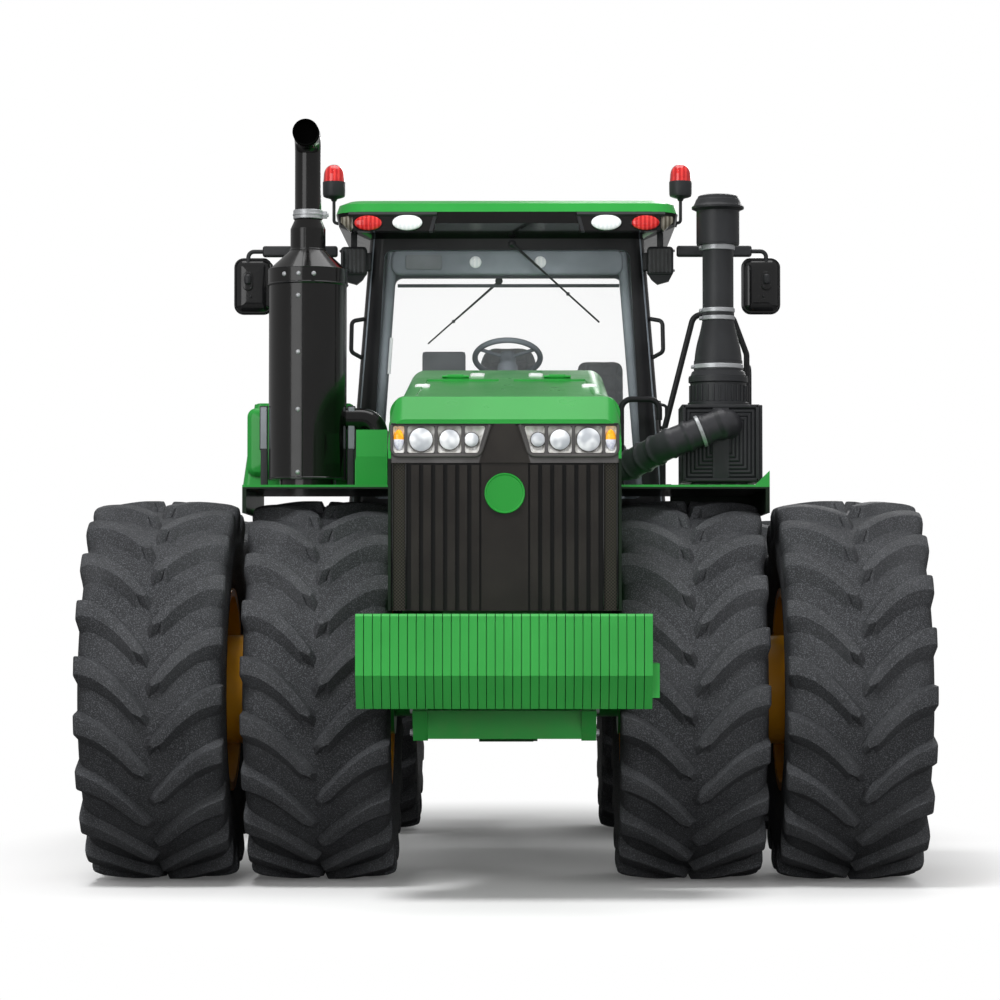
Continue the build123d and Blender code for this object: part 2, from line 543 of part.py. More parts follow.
CYLINDER_RUN = hypot(STEER_EYE[0] - STEER_BASE[0], STEER_EYE[1] - STEER_BASE[1])
for name, side in (("left", 1), ("right", -1)):
    base_x, base_y = side * STEER_BASE[0], STEER_BASE[1]
    with BuildPart() as barrel:
        bar((base_x, base_y, STEER_Z - EYE_T / 2), (base_x, base_y, STEER_Z + EYE_T / 2), EYE_R)
        bar(along_cylinder(side, EYE_R - 20), along_cylinder(side, EYE_R + 20), EYE_T / 2)
        bar(along_cylinder(side, EYE_R + 12), along_cylinder(side, BARREL_LEN), BARREL_R)
        bar(along_cylinder(side, BARREL_BORE_START), along_cylinder(side, BARREL_LEN + 1),
            ROD_R + RUNNING_GAP, mode=Mode.SUBTRACT)
        bar((base_x, base_y, STEER_Z - EYE_T), (base_x, base_y, STEER_Z + EYE_T), STEER_PIN_R + RUNNING_GAP,
            mode=Mode.SUBTRACT)
    finish(barrel, f"steering_barrel_{name}")

    with BuildPart() as rod:
        bar(along_cylinder(side, ROD_BACK_END), along_cylinder(side, CYLINDER_RUN), ROD_R)
        eye_x, eye_y = side * STEER_EYE[0], STEER_EYE[1]
        bar((eye_x, eye_y, STEER_Z - EYE_T / 2), (eye_x, eye_y, STEER_Z + EYE_T / 2), EYE_R)
        bar((eye_x, eye_y, STEER_Z - EYE_T), (eye_x, eye_y, STEER_Z + EYE_T), STEER_PIN_R, mode=Mode.SUBTRACT)
    finish(rod, f"steering_rod_{name}")

# ---------------------------------------------------------------- cab
CAB_FLOOR_Z = 2050.0
CAB_TOP_Z = 3640.0
CAB_BASE_HALF_W = 930.0
CAB_TOP_HALF_W = 800.0
CAB_BASE_Y = (-890.0, 700.0)
CAB_TOP_Y = (-960.0, 640.0)
CAB_CORNER_R = 90.0
WALL_T = 50.0
GLASS_DEPTH = 18.0           # from the wall's outer face to the glass
GLASS_T = 6.0
FLOOR_T = 100.0
MOUNT_R = 70.0
SILL_Z = 2130.0
WINDOW_TOP_Z = 3575.0
SCREEN_BOTTOM_HALF_W = 790.0
SCREEN_TOP_HALF_W = 712.0
DOOR_Y = (-790.0, 430.0)
DOOR_RIM = 62.0              # door frame round its window
QUARTER_Y = (500.0, 600.0)
REAR_WINDOW_BOTTOM = 2480.0
HINGE_OUT = 17.0             # door's hinge line, outside the wall
HINGE_PIN_R = 9.0
KNUCKLE_R = 17.0
KNUCKLE_HALF_L = 32.0
KNUCKLE_GAP = 3.0            # above and below a knuckle, whose axis leans
DOOR_HINGE_ZS = (2380.0, 3330.0)


def cab_layer(outer_inset, inner_inset):
    """Hollow four-sided shell of the cab, between two depths below its outer face."""
    for inset, mode in ((outer_inset, Mode.ADD), (inner_inset, Mode.SUBTRACT)):
        sections = []
        reach = 0 if mode == Mode.ADD else 1
        for z, half_w, ys in ((CAB_FLOOR_Z - reach, CAB_BASE_HALF_W, CAB_BASE_Y),
                              (CAB_TOP_Z + reach, CAB_TOP_HALF_W, CAB_TOP_Y)):
            with BuildSketch(Plane.XY.offset(z)) as section:
                with Locations((0, sum(ys) / 2)):
                    RectangleRounded(2 * (half_w - inset), ys[1] - ys[0] - 2 * inset, CAB_CORNER_R - inset)
            sections.append(section.sketch)
        loft(sections, ruled=True, mode=mode)


def cab_side_x(z):
    """Half width of the cab's outer face at a height."""
    share = (z - CAB_FLOOR_Z) / (CAB_TOP_Z - CAB_FLOOR_Z)
    return CAB_BASE_HALF_W + share * (CAB_TOP_HALF_W - CAB_BASE_HALF_W)


def side_opening(side, ys, zs, grow=0.0, corner=60.0, mode=Mode.SUBTRACT):
    """Rounded window or doorway through one side wall."""
    x = sorted((side * (CAB_TOP_HALF_W - 2 * WALL_T), side * (CAB_BASE_HALF_W + WALL_T)))
    plane = Plane(origin=(x[0], sum(ys) / 2, sum(zs) / 2), x_dir=(0, 1, 0), z_dir=(1, 0, 0))
    with BuildSketch(plane) as section:
        RectangleRounded(ys[1] - ys[0] + 2 * grow, zs[1] - zs[0] + 2 * grow, corner + grow)
    extrude(section.sketch, amount=x[1] - x[0], mode=mode)


def end_opening(y, outline, mode=Mode.SUBTRACT):
    """Opening through the front or rear wall, with an outline of (x, z) points."""
    with BuildSketch(Plane(origin=(0, y[0], 0), x_dir=(-1, 0, 0), z_dir=(0, 1, 0))) as section:
        with BuildLine():
            Polyline(*[(-x, z) for x, z in outline], close=True)
        make_face()
        fillet(section.vertices(), 50)
    extrude(section.sketch, amount=y[1] - y[0], mode=mode)


SCREEN = [
    (-SCREEN_BOTTOM_HALF_W, SILL_Z), (SCREEN_BOTTOM_HALF_W, SILL_Z),
    (SCREEN_TOP_HALF_W, WINDOW_TOP_Z), (-SCREEN_TOP_HALF_W, WINDOW_TOP_Z),
]
REAR_SCREEN = [
    (-SCREEN_BOTTOM_HALF_W, REAR_WINDOW_BOTTOM), (SCREEN_BOTTOM_HALF_W, REAR_WINDOW_BOTTOM),
    (SCREEN_TOP_HALF_W, WINDOW_TOP_Z), (-SCREEN_TOP_HALF_W, WINDOW_TOP_Z),
]
FRONT_WALL_Y = (CAB_TOP_Y[0] - WALL_T, CAB_BASE_Y[0] + 2 * WALL_T)
REAR_WALL_Y = (CAB_TOP_Y[1] - 2 * WALL_T, CAB_BASE_Y[1] + WALL_T)
DOOR_Z = (SILL_Z, WINDOW_TOP_Z)
DOOR_WINDOW_Y = (DOOR_Y[0] + DOOR_RIM, DOOR_Y[1] - DOOR_RIM)
DOOR_WINDOW_Z = (DOOR_Z[0] + DOOR_RIM, DOOR_Z[1] - DOOR_RIM)
HINGE_Y = DOOR_Y[1] + SWING_GAP / 2


def cab_windows(mode):
    """Every fixed window of the cab: cut from the frame, or kept from the glass."""
    end_opening(FRONT_WALL_Y, SCREEN, mode)
    end_opening(REAR_WALL_Y, REAR_SCREEN, mode)
    side_opening(-1, DOOR_WINDOW_Y, DOOR_WINDOW_Z, mode=mode)
    for side in (1, -1):
        side_opening(side, QUARTER_Y, DOOR_WINDOW_Z, corner=30, mode=mode)


def hinge_point(z, along=0.0):
    """Point on the door's hinge line, which leans in with the wall."""
    height = z + along
    return (cab_side_x(height) + HINGE_OUT, HINGE_Y, height)


with BuildPart() as cab_frame:
    cab_layer(0, WALL_T)
    cab_windows(Mode.SUBTRACT)
    side_opening(1, DOOR_Y, DOOR_Z, grow=SWING_GAP)
    for z in DOOR_HINGE_ZS:
        bar(hinge_point(z, -KNUCKLE_HALF_L - 25), hinge_point(z, KNUCKLE_HALF_L + 25), HINGE_PIN_R)
        for low, high in ((-KNUCKLE_HALF_L - 25, -KNUCKLE_HALF_L - KNUCKLE_GAP),
                          (KNUCKLE_HALF_L + KNUCKLE_GAP, KNUCKLE_HALF_L + 25)):
            block((cab_side_x(z) - 12, cab_side_x(z) + HINGE_OUT + 8), (HINGE_Y, HINGE_Y + 60),
                  (z + low, z + high))
finish(cab_frame, "cab_frame")

with BuildPart() as cab_glass:
    with BuildPart(mode=Mode.PRIVATE) as openings:
        cab_windows(Mode.ADD)
    cab_layer(GLASS_DEPTH, GLASS_DEPTH + GLASS_T)
    add(openings.part, mode=Mode.INTERSECT)
finish(cab_glass, "cab_glass")

with BuildPart() as cab_door:
    cab_layer(0, WALL_T)
    side_opening(1, DOOR_Y, DOOR_Z, mode=Mode.INTERSECT)
    side_opening(1, DOOR_WINDOW_Y, DOOR_WINDOW_Z)
    for z in DOOR_HINGE_ZS:
        block((cab_side_x(z) - 15, cab_side_x(z) + HINGE_OUT), (HINGE_Y - 70, HINGE_Y - 4),
              (z - KNUCKLE_HALF_L, z + KNUCKLE_HALF_L))
        bar(hinge_point(z, -KNUCKLE_HALF_L), hinge_point(z, KNUCKLE_HALF_L), KNUCKLE_R)
        bar(hinge_point(z, -KNUCKLE_HALF_L - KNUCKLE_GAP), hinge_point(z, KNUCKLE_HALF_L + KNUCKLE_GAP),
            HINGE_PIN_R + RUNNING_GAP, mode=Mode.SUBTRACT)
finish(cab_door, "cab_door")

with BuildPart() as door_glass:
    cab_layer(GLASS_DEPTH, GLASS_DEPTH + GLASS_T)
    side_opening(1, DOOR_WINDOW_Y, DOOR_WINDOW_Z, mode=Mode.INTERSECT)
finish(door_glass, "door_glass")

with BuildPart() as cab_base:
    with BuildSketch(Plane.XY.offset(CAB_FLOOR_Z - FLOOR_T)):
        with Locations((0, sum(CAB_BASE_Y) / 2)):
            RectangleRounded(2 * CAB_BASE_HALF_W, CAB_BASE_Y[1] - CAB_BASE_Y[0], CAB_CORNER_R)
    extrude(amount=FLOOR_T)
    for y in BEAM_YS:
        for side in (1, -1):
            x = side * (CROSSBEAM_HALF - MOUNT_R - 20)
            bar((x, y, BEAM_Z[1]), (x, y, CAB_FLOOR_Z - FLOOR_T), MOUNT_R)
    for across in mirrored((430, 800)):
        block(across, (BEAM_YS[0] + 90, BEAM_YS[1] + 60), (BEAM_Z[1] + 60, CAB_FLOOR_Z - FLOOR_T))
finish(cab_base, "cab_base")

# ---------------------------------------------------------------- roof
ROOF_HALF_W = 990.0
ROOF_Y = (-1180.0, 830.0)
ROOF_SEAM_Z = 3770.0
ROOF_TOP_Z = 3842.0
ROOF_CORNER_R = 170.0
ROOF_LEDGE_Z = 3705.0
ROOF_LEDGE_INSET = 15.0
POD_X = (414.0, 879.0)
POD_Z = (3655.0, 3757.0)
POD_Y = (-1225.0, -1130.0)
RED_LAMP = (795.0, 3700.0, 79.0, 43.0)       # x, z, half width, half height
WHITE_LAMP = (570.0, 3702.0, 86.0, 45.0)
LENS_T = 12.0

with BuildPart() as roof_visor:
    sections = []
    for z, half_w, ys, corner in (
        (CAB_TOP_Z, CAB_TOP_HALF_W, CAB_TOP_Y, CAB_CORNER_R),
        (ROOF_LEDGE_Z, ROOF_HALF_W - ROOF_LEDGE_INSET,
         (ROOF_Y[0] + ROOF_LEDGE_INSET, ROOF_Y[1] - ROOF_LEDGE_INSET), ROOF_CORNER_R),
        (ROOF_SEAM_Z, ROOF_HALF_W, ROOF_Y, ROOF_CORNER_R),
    ):
        with BuildSketch(Plane.XY.offset(z)) as section:
            with Locations((0, sum(ys) / 2)):
                RectangleRounded(2 * half_w, ys[1] - ys[0], corner)
        sections.append(section.sketch)
    loft(sections, ruled=True)
    for across in mirrored(POD_X):
        block(across, POD_Y, POD_Z)
finish(roof_visor, "roof_visor")

with BuildPart() as cab_roof:
    for k, (z, inset) in enumerate(((ROOF_SEAM_Z, 0), (ROOF_TOP_Z - 22, 18), (ROOF_TOP_Z, 75))):
        with BuildSketch(Plane.XY.offset(z)):
            with Locations((0, sum(ROOF_Y) / 2)):
                RectangleRounded(2 * (ROOF_HALF_W - inset), ROOF_Y[1] - ROOF_Y[0] - 2 * inset,
                                 ROOF_CORNER_R - inset)
    loft(ruled=True)
finish(cab_roof, "cab_roof")

CORNER_LAMP_X = (CAB_TOP_HALF_W + 25.0, CAB_TOP_HALF_W + 185.0)
CORNER_LAMP_Y = (-985.0, -915.0)
CORNER_LAMP_Z = (3420.0, 3600.0)
BEACON_X = 1015.0
BEACON_Y = -820.0
BEACON_R = 65.0
BEACON_STEM_R = 11.0
BEACON_STEM_DROP = 20.0
BEACON_BASE_Z = 3940.0
BEACON_LENS_Z = 4040.0
BEACON_TOP_Z = 4130.0


def roof_underside(x):
    """Height of the visor's sloping underside, between the cab's wall and the roof's ledge."""
    share = (x - CAB_TOP_HALF_W) / (ROOF_HALF_W - ROOF_LEDGE_INSET - CAB_TOP_HALF_W)
    return CAB_TOP_Z + share * (ROOF_LEDGE_Z - CAB_TOP_Z)


def roof_side(z):
    """Half width of the visor between its ledge and the seam."""
    share = (ROOF_SEAM_Z - z) / (ROOF_SEAM_Z - ROOF_LEDGE_Z)
    return ROOF_HALF_W - share * ROOF_LEDGE_INSET


with BuildPart() as cab_lamps:
    for x, z, half_w, half_h in (RED_LAMP, WHITE_LAMP):
        for side in (1, -1):
            with BuildSketch(Plane(origin=(side * x, POD_Y[0], z), x_dir=(1, 0, 0), z_dir=(0, -1, 0))):
                Ellipse(half_w, half_h)
    extrude(amount=LENS_T)
    for side in (1, -1):
        block(sorted((side * CORNER_LAMP_X[0], side * CORNER_LAMP_X[1])), CORNER_LAMP_Y, CORNER_LAMP_Z)
        stem_x = sum(CORNER_LAMP_X) / 2
        bar((side * stem_x, sum(CORNER_LAMP_Y) / 2, CORNER_LAMP_Z[1]),
            (side * stem_x, sum(CORNER_LAMP_Y) / 2, roof_underside(stem_x - 15)), 15)
        stem_z = ROOF_SEAM_Z - BEACON_STEM_DROP
        root_x = roof_side(stem_z + BEACON_STEM_R) + FIT
        pipe([(side * root_x, BEACON_Y, stem_z), (side * BEACON_X, BEACON_Y, stem_z),
              (side * BEACON_X, BEACON_Y, BEACON_BASE_Z)], BEACON_STEM_R, 20)
        bar((side * BEACON_X, BEACON_Y, BEACON_BASE_Z), (side * BEACON_X, BEACON_Y, BEACON_LENS_Z), BEACON_R)
        cone((side * BEACON_X, BEACON_Y, BEACON_LENS_Z), (side * BEACON_X, BEACON_Y, BEACON_TOP_Z),
             BEACON_R * 0.86, BEACON_R * 0.6)
finish(cab_lamps, "cab_lamps")

# ---------------------------------------------------------------- hood, cowl, grille and headlights
HOOD_FRONT_Y = FRONT_AXLE_Y - 1330.0
HOOD_BROW_Y = HOOD_FRONT_Y + 135.0
HOOD_REAR_Y = FRONT_AXLE_Y + 110.0
COWL_REAR_Y = CAB_TOP_Y[0] - 4.0
HOOD_BOTTOM_Z = 1480.0
HOOD_LIP_Z = 2440.0          # top of the headlights
LIP_BAND = 24.0              # upright band under the sloping brow
NOSE_LEAN = 42.0             # how far the nose's sides lean in, from the lip to the brow
SPINE_HALF_W = 62.0
SPINE_BACK_HALF_W = 40.0
SUNK_PANEL_FRONT_X = 465.0
SUNK_PANEL_BACK_X = 440.0
SUNK_PANEL_DEPTH = 7.0
SIDE_VENTS = 8
SIDE_VENT_Z = 1640.0
SIDE_VENT_PITCH = 66.0
SIDE_VENT_H = 40.0
SIDE_VENT_DEPTH = 9.0
HOOD_BROW_Z = 2590.0
HOOD_SLOPE = 0.146
HOOD_HALF_W = 560.0          # beside the tyres
NOSE_HALF_W = 600.0
NOSE_BACK_Y = HOOD_FRONT_Y + 215.0
NOSE_TAPER_Y = HOOD_FRONT_Y + 360.0
HOOD_T = 16.0
SHOULDER_R = 90.0
GRILLE_HALF_W = 585.0
GRILLE_TOP_Z = 2240.0
GRILLE_DEPTH = 70.0
GRILLE_PANEL_HALF_W = 505.0  # slats and centre panel, between the two side screens
SLATS = 6
SLAT_PITCH = 62.0
SLAT_W = 40.0
SLAT_D = 22.0
CENTRE_HALF_W = 120.0
EMBLEM_Z = 2083.0
EMBLEM_R = 103.0
LAMP_CELLS = [  # inner edge at the bottom and at the top, outer edge, and radius of the reflector
    (136.0, 98.0, 206.0, 36.0),
    (222.0, 222.0, 346.0, 52.0),
    (360.0, 360.0, 502.0, 60.0),
    (516.0, 516.0, 575.0, 24.0),
]
LAMP_Z = (2290.0, 2430.0)
LAMP_SINK = 8.0              # lamps' face, behind the nose
LAMP_DEPTH = 26.0
REFLECTOR_DEPTH = 20.0
LAMP_PANEL_TOP_HALF_W = 52.0     # centre panel, narrowing between the lamps
GRILLE_SINK = 24.0
PANEL_T = 14.0
EMBLEM_T = 18.0
HOOD_KNUCKLE_R = 13.0
HOOD_PIN_R = 6.5
HOOD_HINGE_RISE = 10.0       # hinge line, above the hood's top
HOOD_EAR_REACH = 30.0
HOOD_KNUCKLE_X = (240.0, 330.0)
BULKHEAD_Y = (ENGINE_Y[1] + 20.0, ENGINE_Y[1] + 20.0 + HOOD_T)
SUNK_PANEL_Y = (HOOD_BROW_Y + 55.0, HOOD_REAR_Y - 90.0)
SIDE_VENT_Y = (NOSE_TAPER_Y + 90.0, HOOD_REAR_Y - 160.0)


def hood_top(y):
    """Height of the hood's top line, behind its brow."""
    return HOOD_BROW_Z + HOOD_SLOPE * (y - HOOD_BROW_Y)


HOOD_HINGE_Z = hood_top(HOOD_REAR_Y) + HOOD_HINGE_RISE


def hood_mass(inset, bottom, ys, mode=Mode.ADD):
    """Solid under the hood's outer face, at a depth below it, between two places along it."""
    half, nose = HOOD_HALF_W - inset, NOSE_HALF_W - inset
    front = max(ys[0], HOOD_FRONT_Y + inset)
    plan = [(-half, ys[1]), (half, ys[1])]
    if front < NOSE_BACK_Y:
        plan += [(half, NOSE_TAPER_Y), (nose, NOSE_BACK_Y), (nose, front),
                 (-nose, front), (-nose, NOSE_BACK_Y), (-half, NOSE_TAPER_Y)]
        profile = [(front, bottom), (front, HOOD_LIP_Z + LIP_BAND),
                   (HOOD_BROW_Y + inset, HOOD_BROW_Z - inset),
                   (ys[1], hood_top(ys[1]) - inset), (ys[1], bottom)]
    else:
        plan += [(half, front), (-half, front)]
        profile = [(front, bottom), (front, hood_top(front) - inset),
                   (ys[1], hood_top(ys[1]) - inset), (ys[1], bottom)]
    with BuildPart(mode=Mode.PRIVATE) as mass:
        level_plate((bottom, hood_top(ys[1]) + 100), plan)
        side_plate((-NOSE_HALF_W - 1, NOSE_HALF_W + 1), profile, mode=Mode.INTERSECT)
        tops = mass.faces().filter_by(lambda f: f.normal_at().Z > 0.5 and f.area > 2e5)
        edges = [e for e in tops.edges() if abs(abs(e.center().X) - half) < nose - half + 1]
        fillet(edges, SHOULDER_R)
        if front < NOSE_BACK_Y:
            for side in (1, -1):
                plane = Plane(origin=(0, front - 1, 0), x_dir=(side, 0, 0), z_dir=(0, -side, 0))
                with BuildSketch(plane) as wedge:
                    with BuildLine():
                        Polyline((nose, HOOD_LIP_Z), (nose + NOSE_LEAN, HOOD_LIP_Z),
                                 (nose + NOSE_LEAN, HOOD_BROW_Z), (nose - NOSE_LEAN, HOOD_BROW_Z), close=True)
                    make_face()
                extrude(wedge.sketch, amount=-side * (NOSE_BACK_Y - front), mode=Mode.SUBTRACT)
    add(mass.part, mode=mode)


with BuildPart() as hood:
    hood_mass(0, HOOD_BOTTOM_Z, (HOOD_FRONT_Y, HOOD_REAR_Y))
    hood_mass(HOOD_T, HOOD_BOTTOM_Z - 1, (HOOD_FRONT_Y, HOOD_REAR_Y + 1), mode=Mode.SUBTRACT)
    block((-GRILLE_HALF_W, GRILLE_HALF_W), (HOOD_FRONT_Y - 1, HOOD_FRONT_Y + GRILLE_DEPTH),
          (HOOD_BOTTOM_Z - 1, HOOD_LIP_Z), mode=Mode.SUBTRACT)
    for x in mirrored(HOOD_KNUCKLE_X):
        bar((x[0], HOOD_REAR_Y, HOOD_HINGE_Z), (x[1], HOOD_REAR_Y, HOOD_HINGE_Z), HOOD_KNUCKLE_R)
        bar((x[0] - 1, HOOD_REAR_Y, HOOD_HINGE_Z), (x[1] + 1, HOOD_REAR_Y, HOOD_HINGE_Z),
            HOOD_PIN_R + RUNNING_GAP, mode=Mode.SUBTRACT)
    for side in (1, -1):
        # sunk panel beside the spine, and the long vents of the side
        sunk = [(y, hood_top(y) - SUNK_PANEL_DEPTH) for y in SUNK_PANEL_Y]
        with BuildPart(mode=Mode.PRIVATE) as panel:
            level_plate((HOOD_LIP_Z, hood_top(HOOD_REAR_Y)), [
                (side * SPINE_HALF_W, SUNK_PANEL_Y[0]), (side * SUNK_PANEL_FRONT_X, SUNK_PANEL_Y[0]),
                (side * SUNK_PANEL_BACK_X, SUNK_PANEL_Y[1]), (side * SPINE_BACK_HALF_W, SUNK_PANEL_Y[1]),
            ])
            side_plate((-NOSE_HALF_W, NOSE_HALF_W), sunk + [(y, z + SHOULDER_R) for y, z in sunk[::-1]],
                       mode=Mode.INTERSECT)
        add(panel.part, mode=Mode.SUBTRACT)
        for k in range(SIDE_VENTS):
            z = SIDE_VENT_Z + k * SIDE_VENT_PITCH
            block(sorted((side * (HOOD_HALF_W - SIDE_VENT_DEPTH), side * (HOOD_HALF_W + 1))),
                  SIDE_VENT_Y, (z, z + SIDE_VENT_H), mode=Mode.SUBTRACT)
finish(hood, "hood")

with BuildPart() as cowl:
    cowl_ys = (HOOD_REAR_Y + SWING_GAP, COWL_REAR_Y)
    hood_mass(0, HOOD_BOTTOM_Z, cowl_ys)
    hood_mass(HOOD_T, HOOD_BOTTOM_Z - 1, (cowl_ys[0] - 1, cowl_ys[1] + 1), mode=Mode.SUBTRACT)
    for x in mirrored(HOOD_KNUCKLE_X):
        block((x[0] - SWING_GAP, x[1] + SWING_GAP),
              (cowl_ys[0] - 1, HOOD_REAR_Y + HOOD_KNUCKLE_R + SWING_GAP / 2),
              (HOOD_HINGE_Z - SHOULDER_R, HOOD_HINGE_Z + SHOULDER_R), mode=Mode.SUBTRACT)
        ears = (x[0] - HOOD_EAR_REACH, x[1] + HOOD_EAR_REACH)
        bar((ears[0], HOOD_REAR_Y, HOOD_HINGE_Z), (ears[1], HOOD_REAR_Y, HOOD_HINGE_Z), HOOD_PIN_R)
        for ear in ((ears[0], x[0] - RUNNING_GAP), (x[1] + RUNNING_GAP, ears[1])):
            block(ear, (HOOD_REAR_Y, cowl_ys[0] + HOOD_EAR_REACH),
                  (HOOD_HINGE_Z - HOOD_PIN_R, HOOD_HINGE_Z + HOOD_PIN_R))
    block((-HOOD_HALF_W + HOOD_T, HOOD_HALF_W - HOOD_T), BULKHEAD_Y, (HOOD_BOTTOM_Z, ENGINE_TOP))
    block((-RAIL_X - RAIL_T, RAIL_X + RAIL_T), BULKHEAD_Y, (RAIL_TOP, HOOD_BOTTOM_Z))
finish(cowl, "cowl")

with BuildPart() as grille:
    front, back = HOOD_FRONT_Y + GRILLE_SINK, HOOD_FRONT_Y + GRILLE_DEPTH
    block((-GRILLE_HALF_W + FIT, GRILLE_HALF_W - FIT), (front, back), (HOOD_BOTTOM_Z, GRILLE_TOP_Z))
    block((-CENTRE_HALF_W, CENTRE_HALF_W), (front - PANEL_T, front), (HOOD_BOTTOM_Z, GRILLE_TOP_Z))
    slat_gap = (SLAT_PITCH - SLAT_W) / 2
    for side in (1, -1):
        for k in range(SLATS):
            x = side * (CENTRE_HALF_W + slat_gap + SLAT_W / 2 + k * SLAT_PITCH)
            block((x - SLAT_W / 2, x + SLAT_W / 2), (front - SLAT_D, front),
                  (HOOD_BOTTOM_Z, GRILLE_TOP_Z - slat_gap))
    bar((0, front - PANEL_T, EMBLEM_Z), (0, front - PANEL_T - EMBLEM_T, EMBLEM_Z), EMBLEM_R)
finish(grille, "grille")

with BuildPart() as headlights:
    front, back = HOOD_FRONT_Y + LAMP_SINK, HOOD_FRONT_Y + GRILLE_DEPTH
    block((-GRILLE_HALF_W + FIT, GRILLE_HALF_W - FIT), (front, back), (GRILLE_TOP_Z, HOOD_LIP_Z - FIT))
    for side in (1, -1):
        for low_inner, high_inner, outer, radius in LAMP_CELLS:
            plane = Plane(origin=(0, front - 1, 0), x_dir=(side, 0, 0), z_dir=(0, -side, 0))
            with BuildSketch(plane) as cell:
                with BuildLine():
                    Polyline((low_inner, LAMP_Z[0]), (outer, LAMP_Z[0]), (outer, LAMP_Z[1]),
                             (high_inner, LAMP_Z[1]), close=True)
                make_face()
            extrude(cell.sketch, amount=-side * (LAMP_DEPTH + 1), mode=Mode.SUBTRACT)
            x = side * (low_inner + outer) / 2
            bar((x, front + LAMP_DEPTH + 1, sum(LAMP_Z) / 2),
                (x, front + LAMP_DEPTH - REFLECTOR_DEPTH, sum(LAMP_Z) / 2), radius)
    with BuildSketch(Plane(origin=(0, front, 0), x_dir=(1, 0, 0), z_dir=(0, -1, 0))) as panel:
        with BuildLine():
            Polyline((-CENTRE_HALF_W, GRILLE_TOP_Z), (CENTRE_HALF_W, GRILLE_TOP_Z),
                     (LAMP_PANEL_TOP_HALF_W, HOOD_LIP_Z - FIT), (-LAMP_PANEL_TOP_HALF_W, HOOD_LIP_Z - FIT),
                     close=True)
        make_face()
    extrude(panel.sketch, amount=LAMP_SINK)
finish(headlights, "headlights")

# ---------------------------------------------------------------- platforms beside the cowl
PLATFORM_T = 22.0
PLATFORM_Z = 2140.0          # underside
PLATFORM_Y = (FRONT_AXLE_Y - 440.0, CAB_TOP_Y[0] - 8.0)
PLATFORM_HALF_W = 1430.0
FLANGE_T = 22.0
FLANGE_BOTTOM = 2010.0
HOOD_SIDE_GAP = 16.0
PLATFORM_TOP = PLATFORM_Z + PLATFORM_T
LANDING_Y = 60.0             # back end of the landing at the door
FIN_LEN = 46.0               # upturned corner of the left platform
FIN_H = 76.0
FIN_W = 78.0
EDGE_RIB_W = 40.0            # rib under a platform, along the cowl
EDGE_RIB_DROP = 50.0
LANDING_INNER_X = CAB_BASE_HALF_W + 15.0

with BuildPart() as platforms:
    for side in (1, -1):
        level_plate((PLATFORM_Z, PLATFORM_TOP), [
            (side * (HOOD_HALF_W + FIT), PLATFORM_Y[1]), (side * PLATFORM_HALF_W, PLATFORM_Y[1]),
            (side * PLATFORM_HALF_W, PLATFORM_Y[0]), (side * (HOOD_HALF_W + HOOD_SIDE_GAP), PLATFORM_Y[0]),
            (side * (HOOD_HALF_W + HOOD_SIDE_GAP), HOOD_REAR_Y + SWING_GAP),
            (side * (HOOD_HALF_W + FIT), HOOD_REAR_Y + SWING_GAP),
        ])
        block(sorted((side * (PLATFORM_HALF_W - FLANGE_T), side * PLATFORM_HALF_W)), PLATFORM_Y,
              (FLANGE_BOTTOM, PLATFORM_TOP))
        block(sorted((side * (HOOD_HALF_W + FIT), side * (HOOD_HALF_W + EDGE_RIB_W))),
              (HOOD_REAR_Y + EDGE_RIB_W, PLATFORM_Y[1]), (PLATFORM_Z - EDGE_RIB_DROP, PLATFORM_Z))
    block((LANDING_INNER_X, PLATFORM_HALF_W), (PLATFORM_Y[1], LANDING_Y),
          (CAB_FLOOR_Z - PLATFORM_T, CAB_FLOOR_Z))
    block((LANDING_INNER_X, PLATFORM_HALF_W), (PLATFORM_Y[1], PLATFORM_Y[1] + PLATFORM_T),
          (CAB_FLOOR_Z - PLATFORM_T, PLATFORM_TOP))
    with BuildSketch(Plane(origin=(0, PLATFORM_Y[0], 0), x_dir=(1, 0, 0), z_dir=(0, -1, 0))) as fin:
        with BuildLine():
            Polyline((PLATFORM_HALF_W - FIN_W, PLATFORM_TOP), (PLATFORM_HALF_W, PLATFORM_TOP + FIN_H),
                     (PLATFORM_HALF_W, PLATFORM_Z), (PLATFORM_HALF_W - FIN_W, PLATFORM_Z), close=True)
        make_face()
    extrude(fin.sketch, amount=-FIN_LEN)
finish(platforms, "platforms")

# ---------------------------------------------------------------- exhaust, on the right platform
EXHAUST_X = -1120.0
EXHAUST_Y = FRONT_AXLE_Y + 206.0
MUFFLER_R = 219.0
MUFFLER_Z = (2212.0, 3340.0)
MUFFLER_FOOT_R = 160.0
MUFFLER_BAND = (3320.0, 3400.0)
NECK_R = 99.0
NECK_Z = (3510.0, 3630.0)
STACK_R = 74.5
STACK_CONE_Z = 3685.0
STACK_CLAMP_Z = (3685.0, 3738.0)
STACK_BEND_Z = 4150.0
STACK_BEND_R = 100.0
STACK_WALL = 5.0
STACK_MOUTH = 60.0           # straight length after the bend
EXHAUST_PIPE_R = 62.0
EXHAUST_PIPE_BEND = 90.0
EXHAUST_PIPE_BACK = 30.0     # behind the muffler's axis
EXHAUST_ELBOW_OUT = 170.0    # from the cowl
EXHAUST_PIPE_Z = (2330.0, 2560.0)

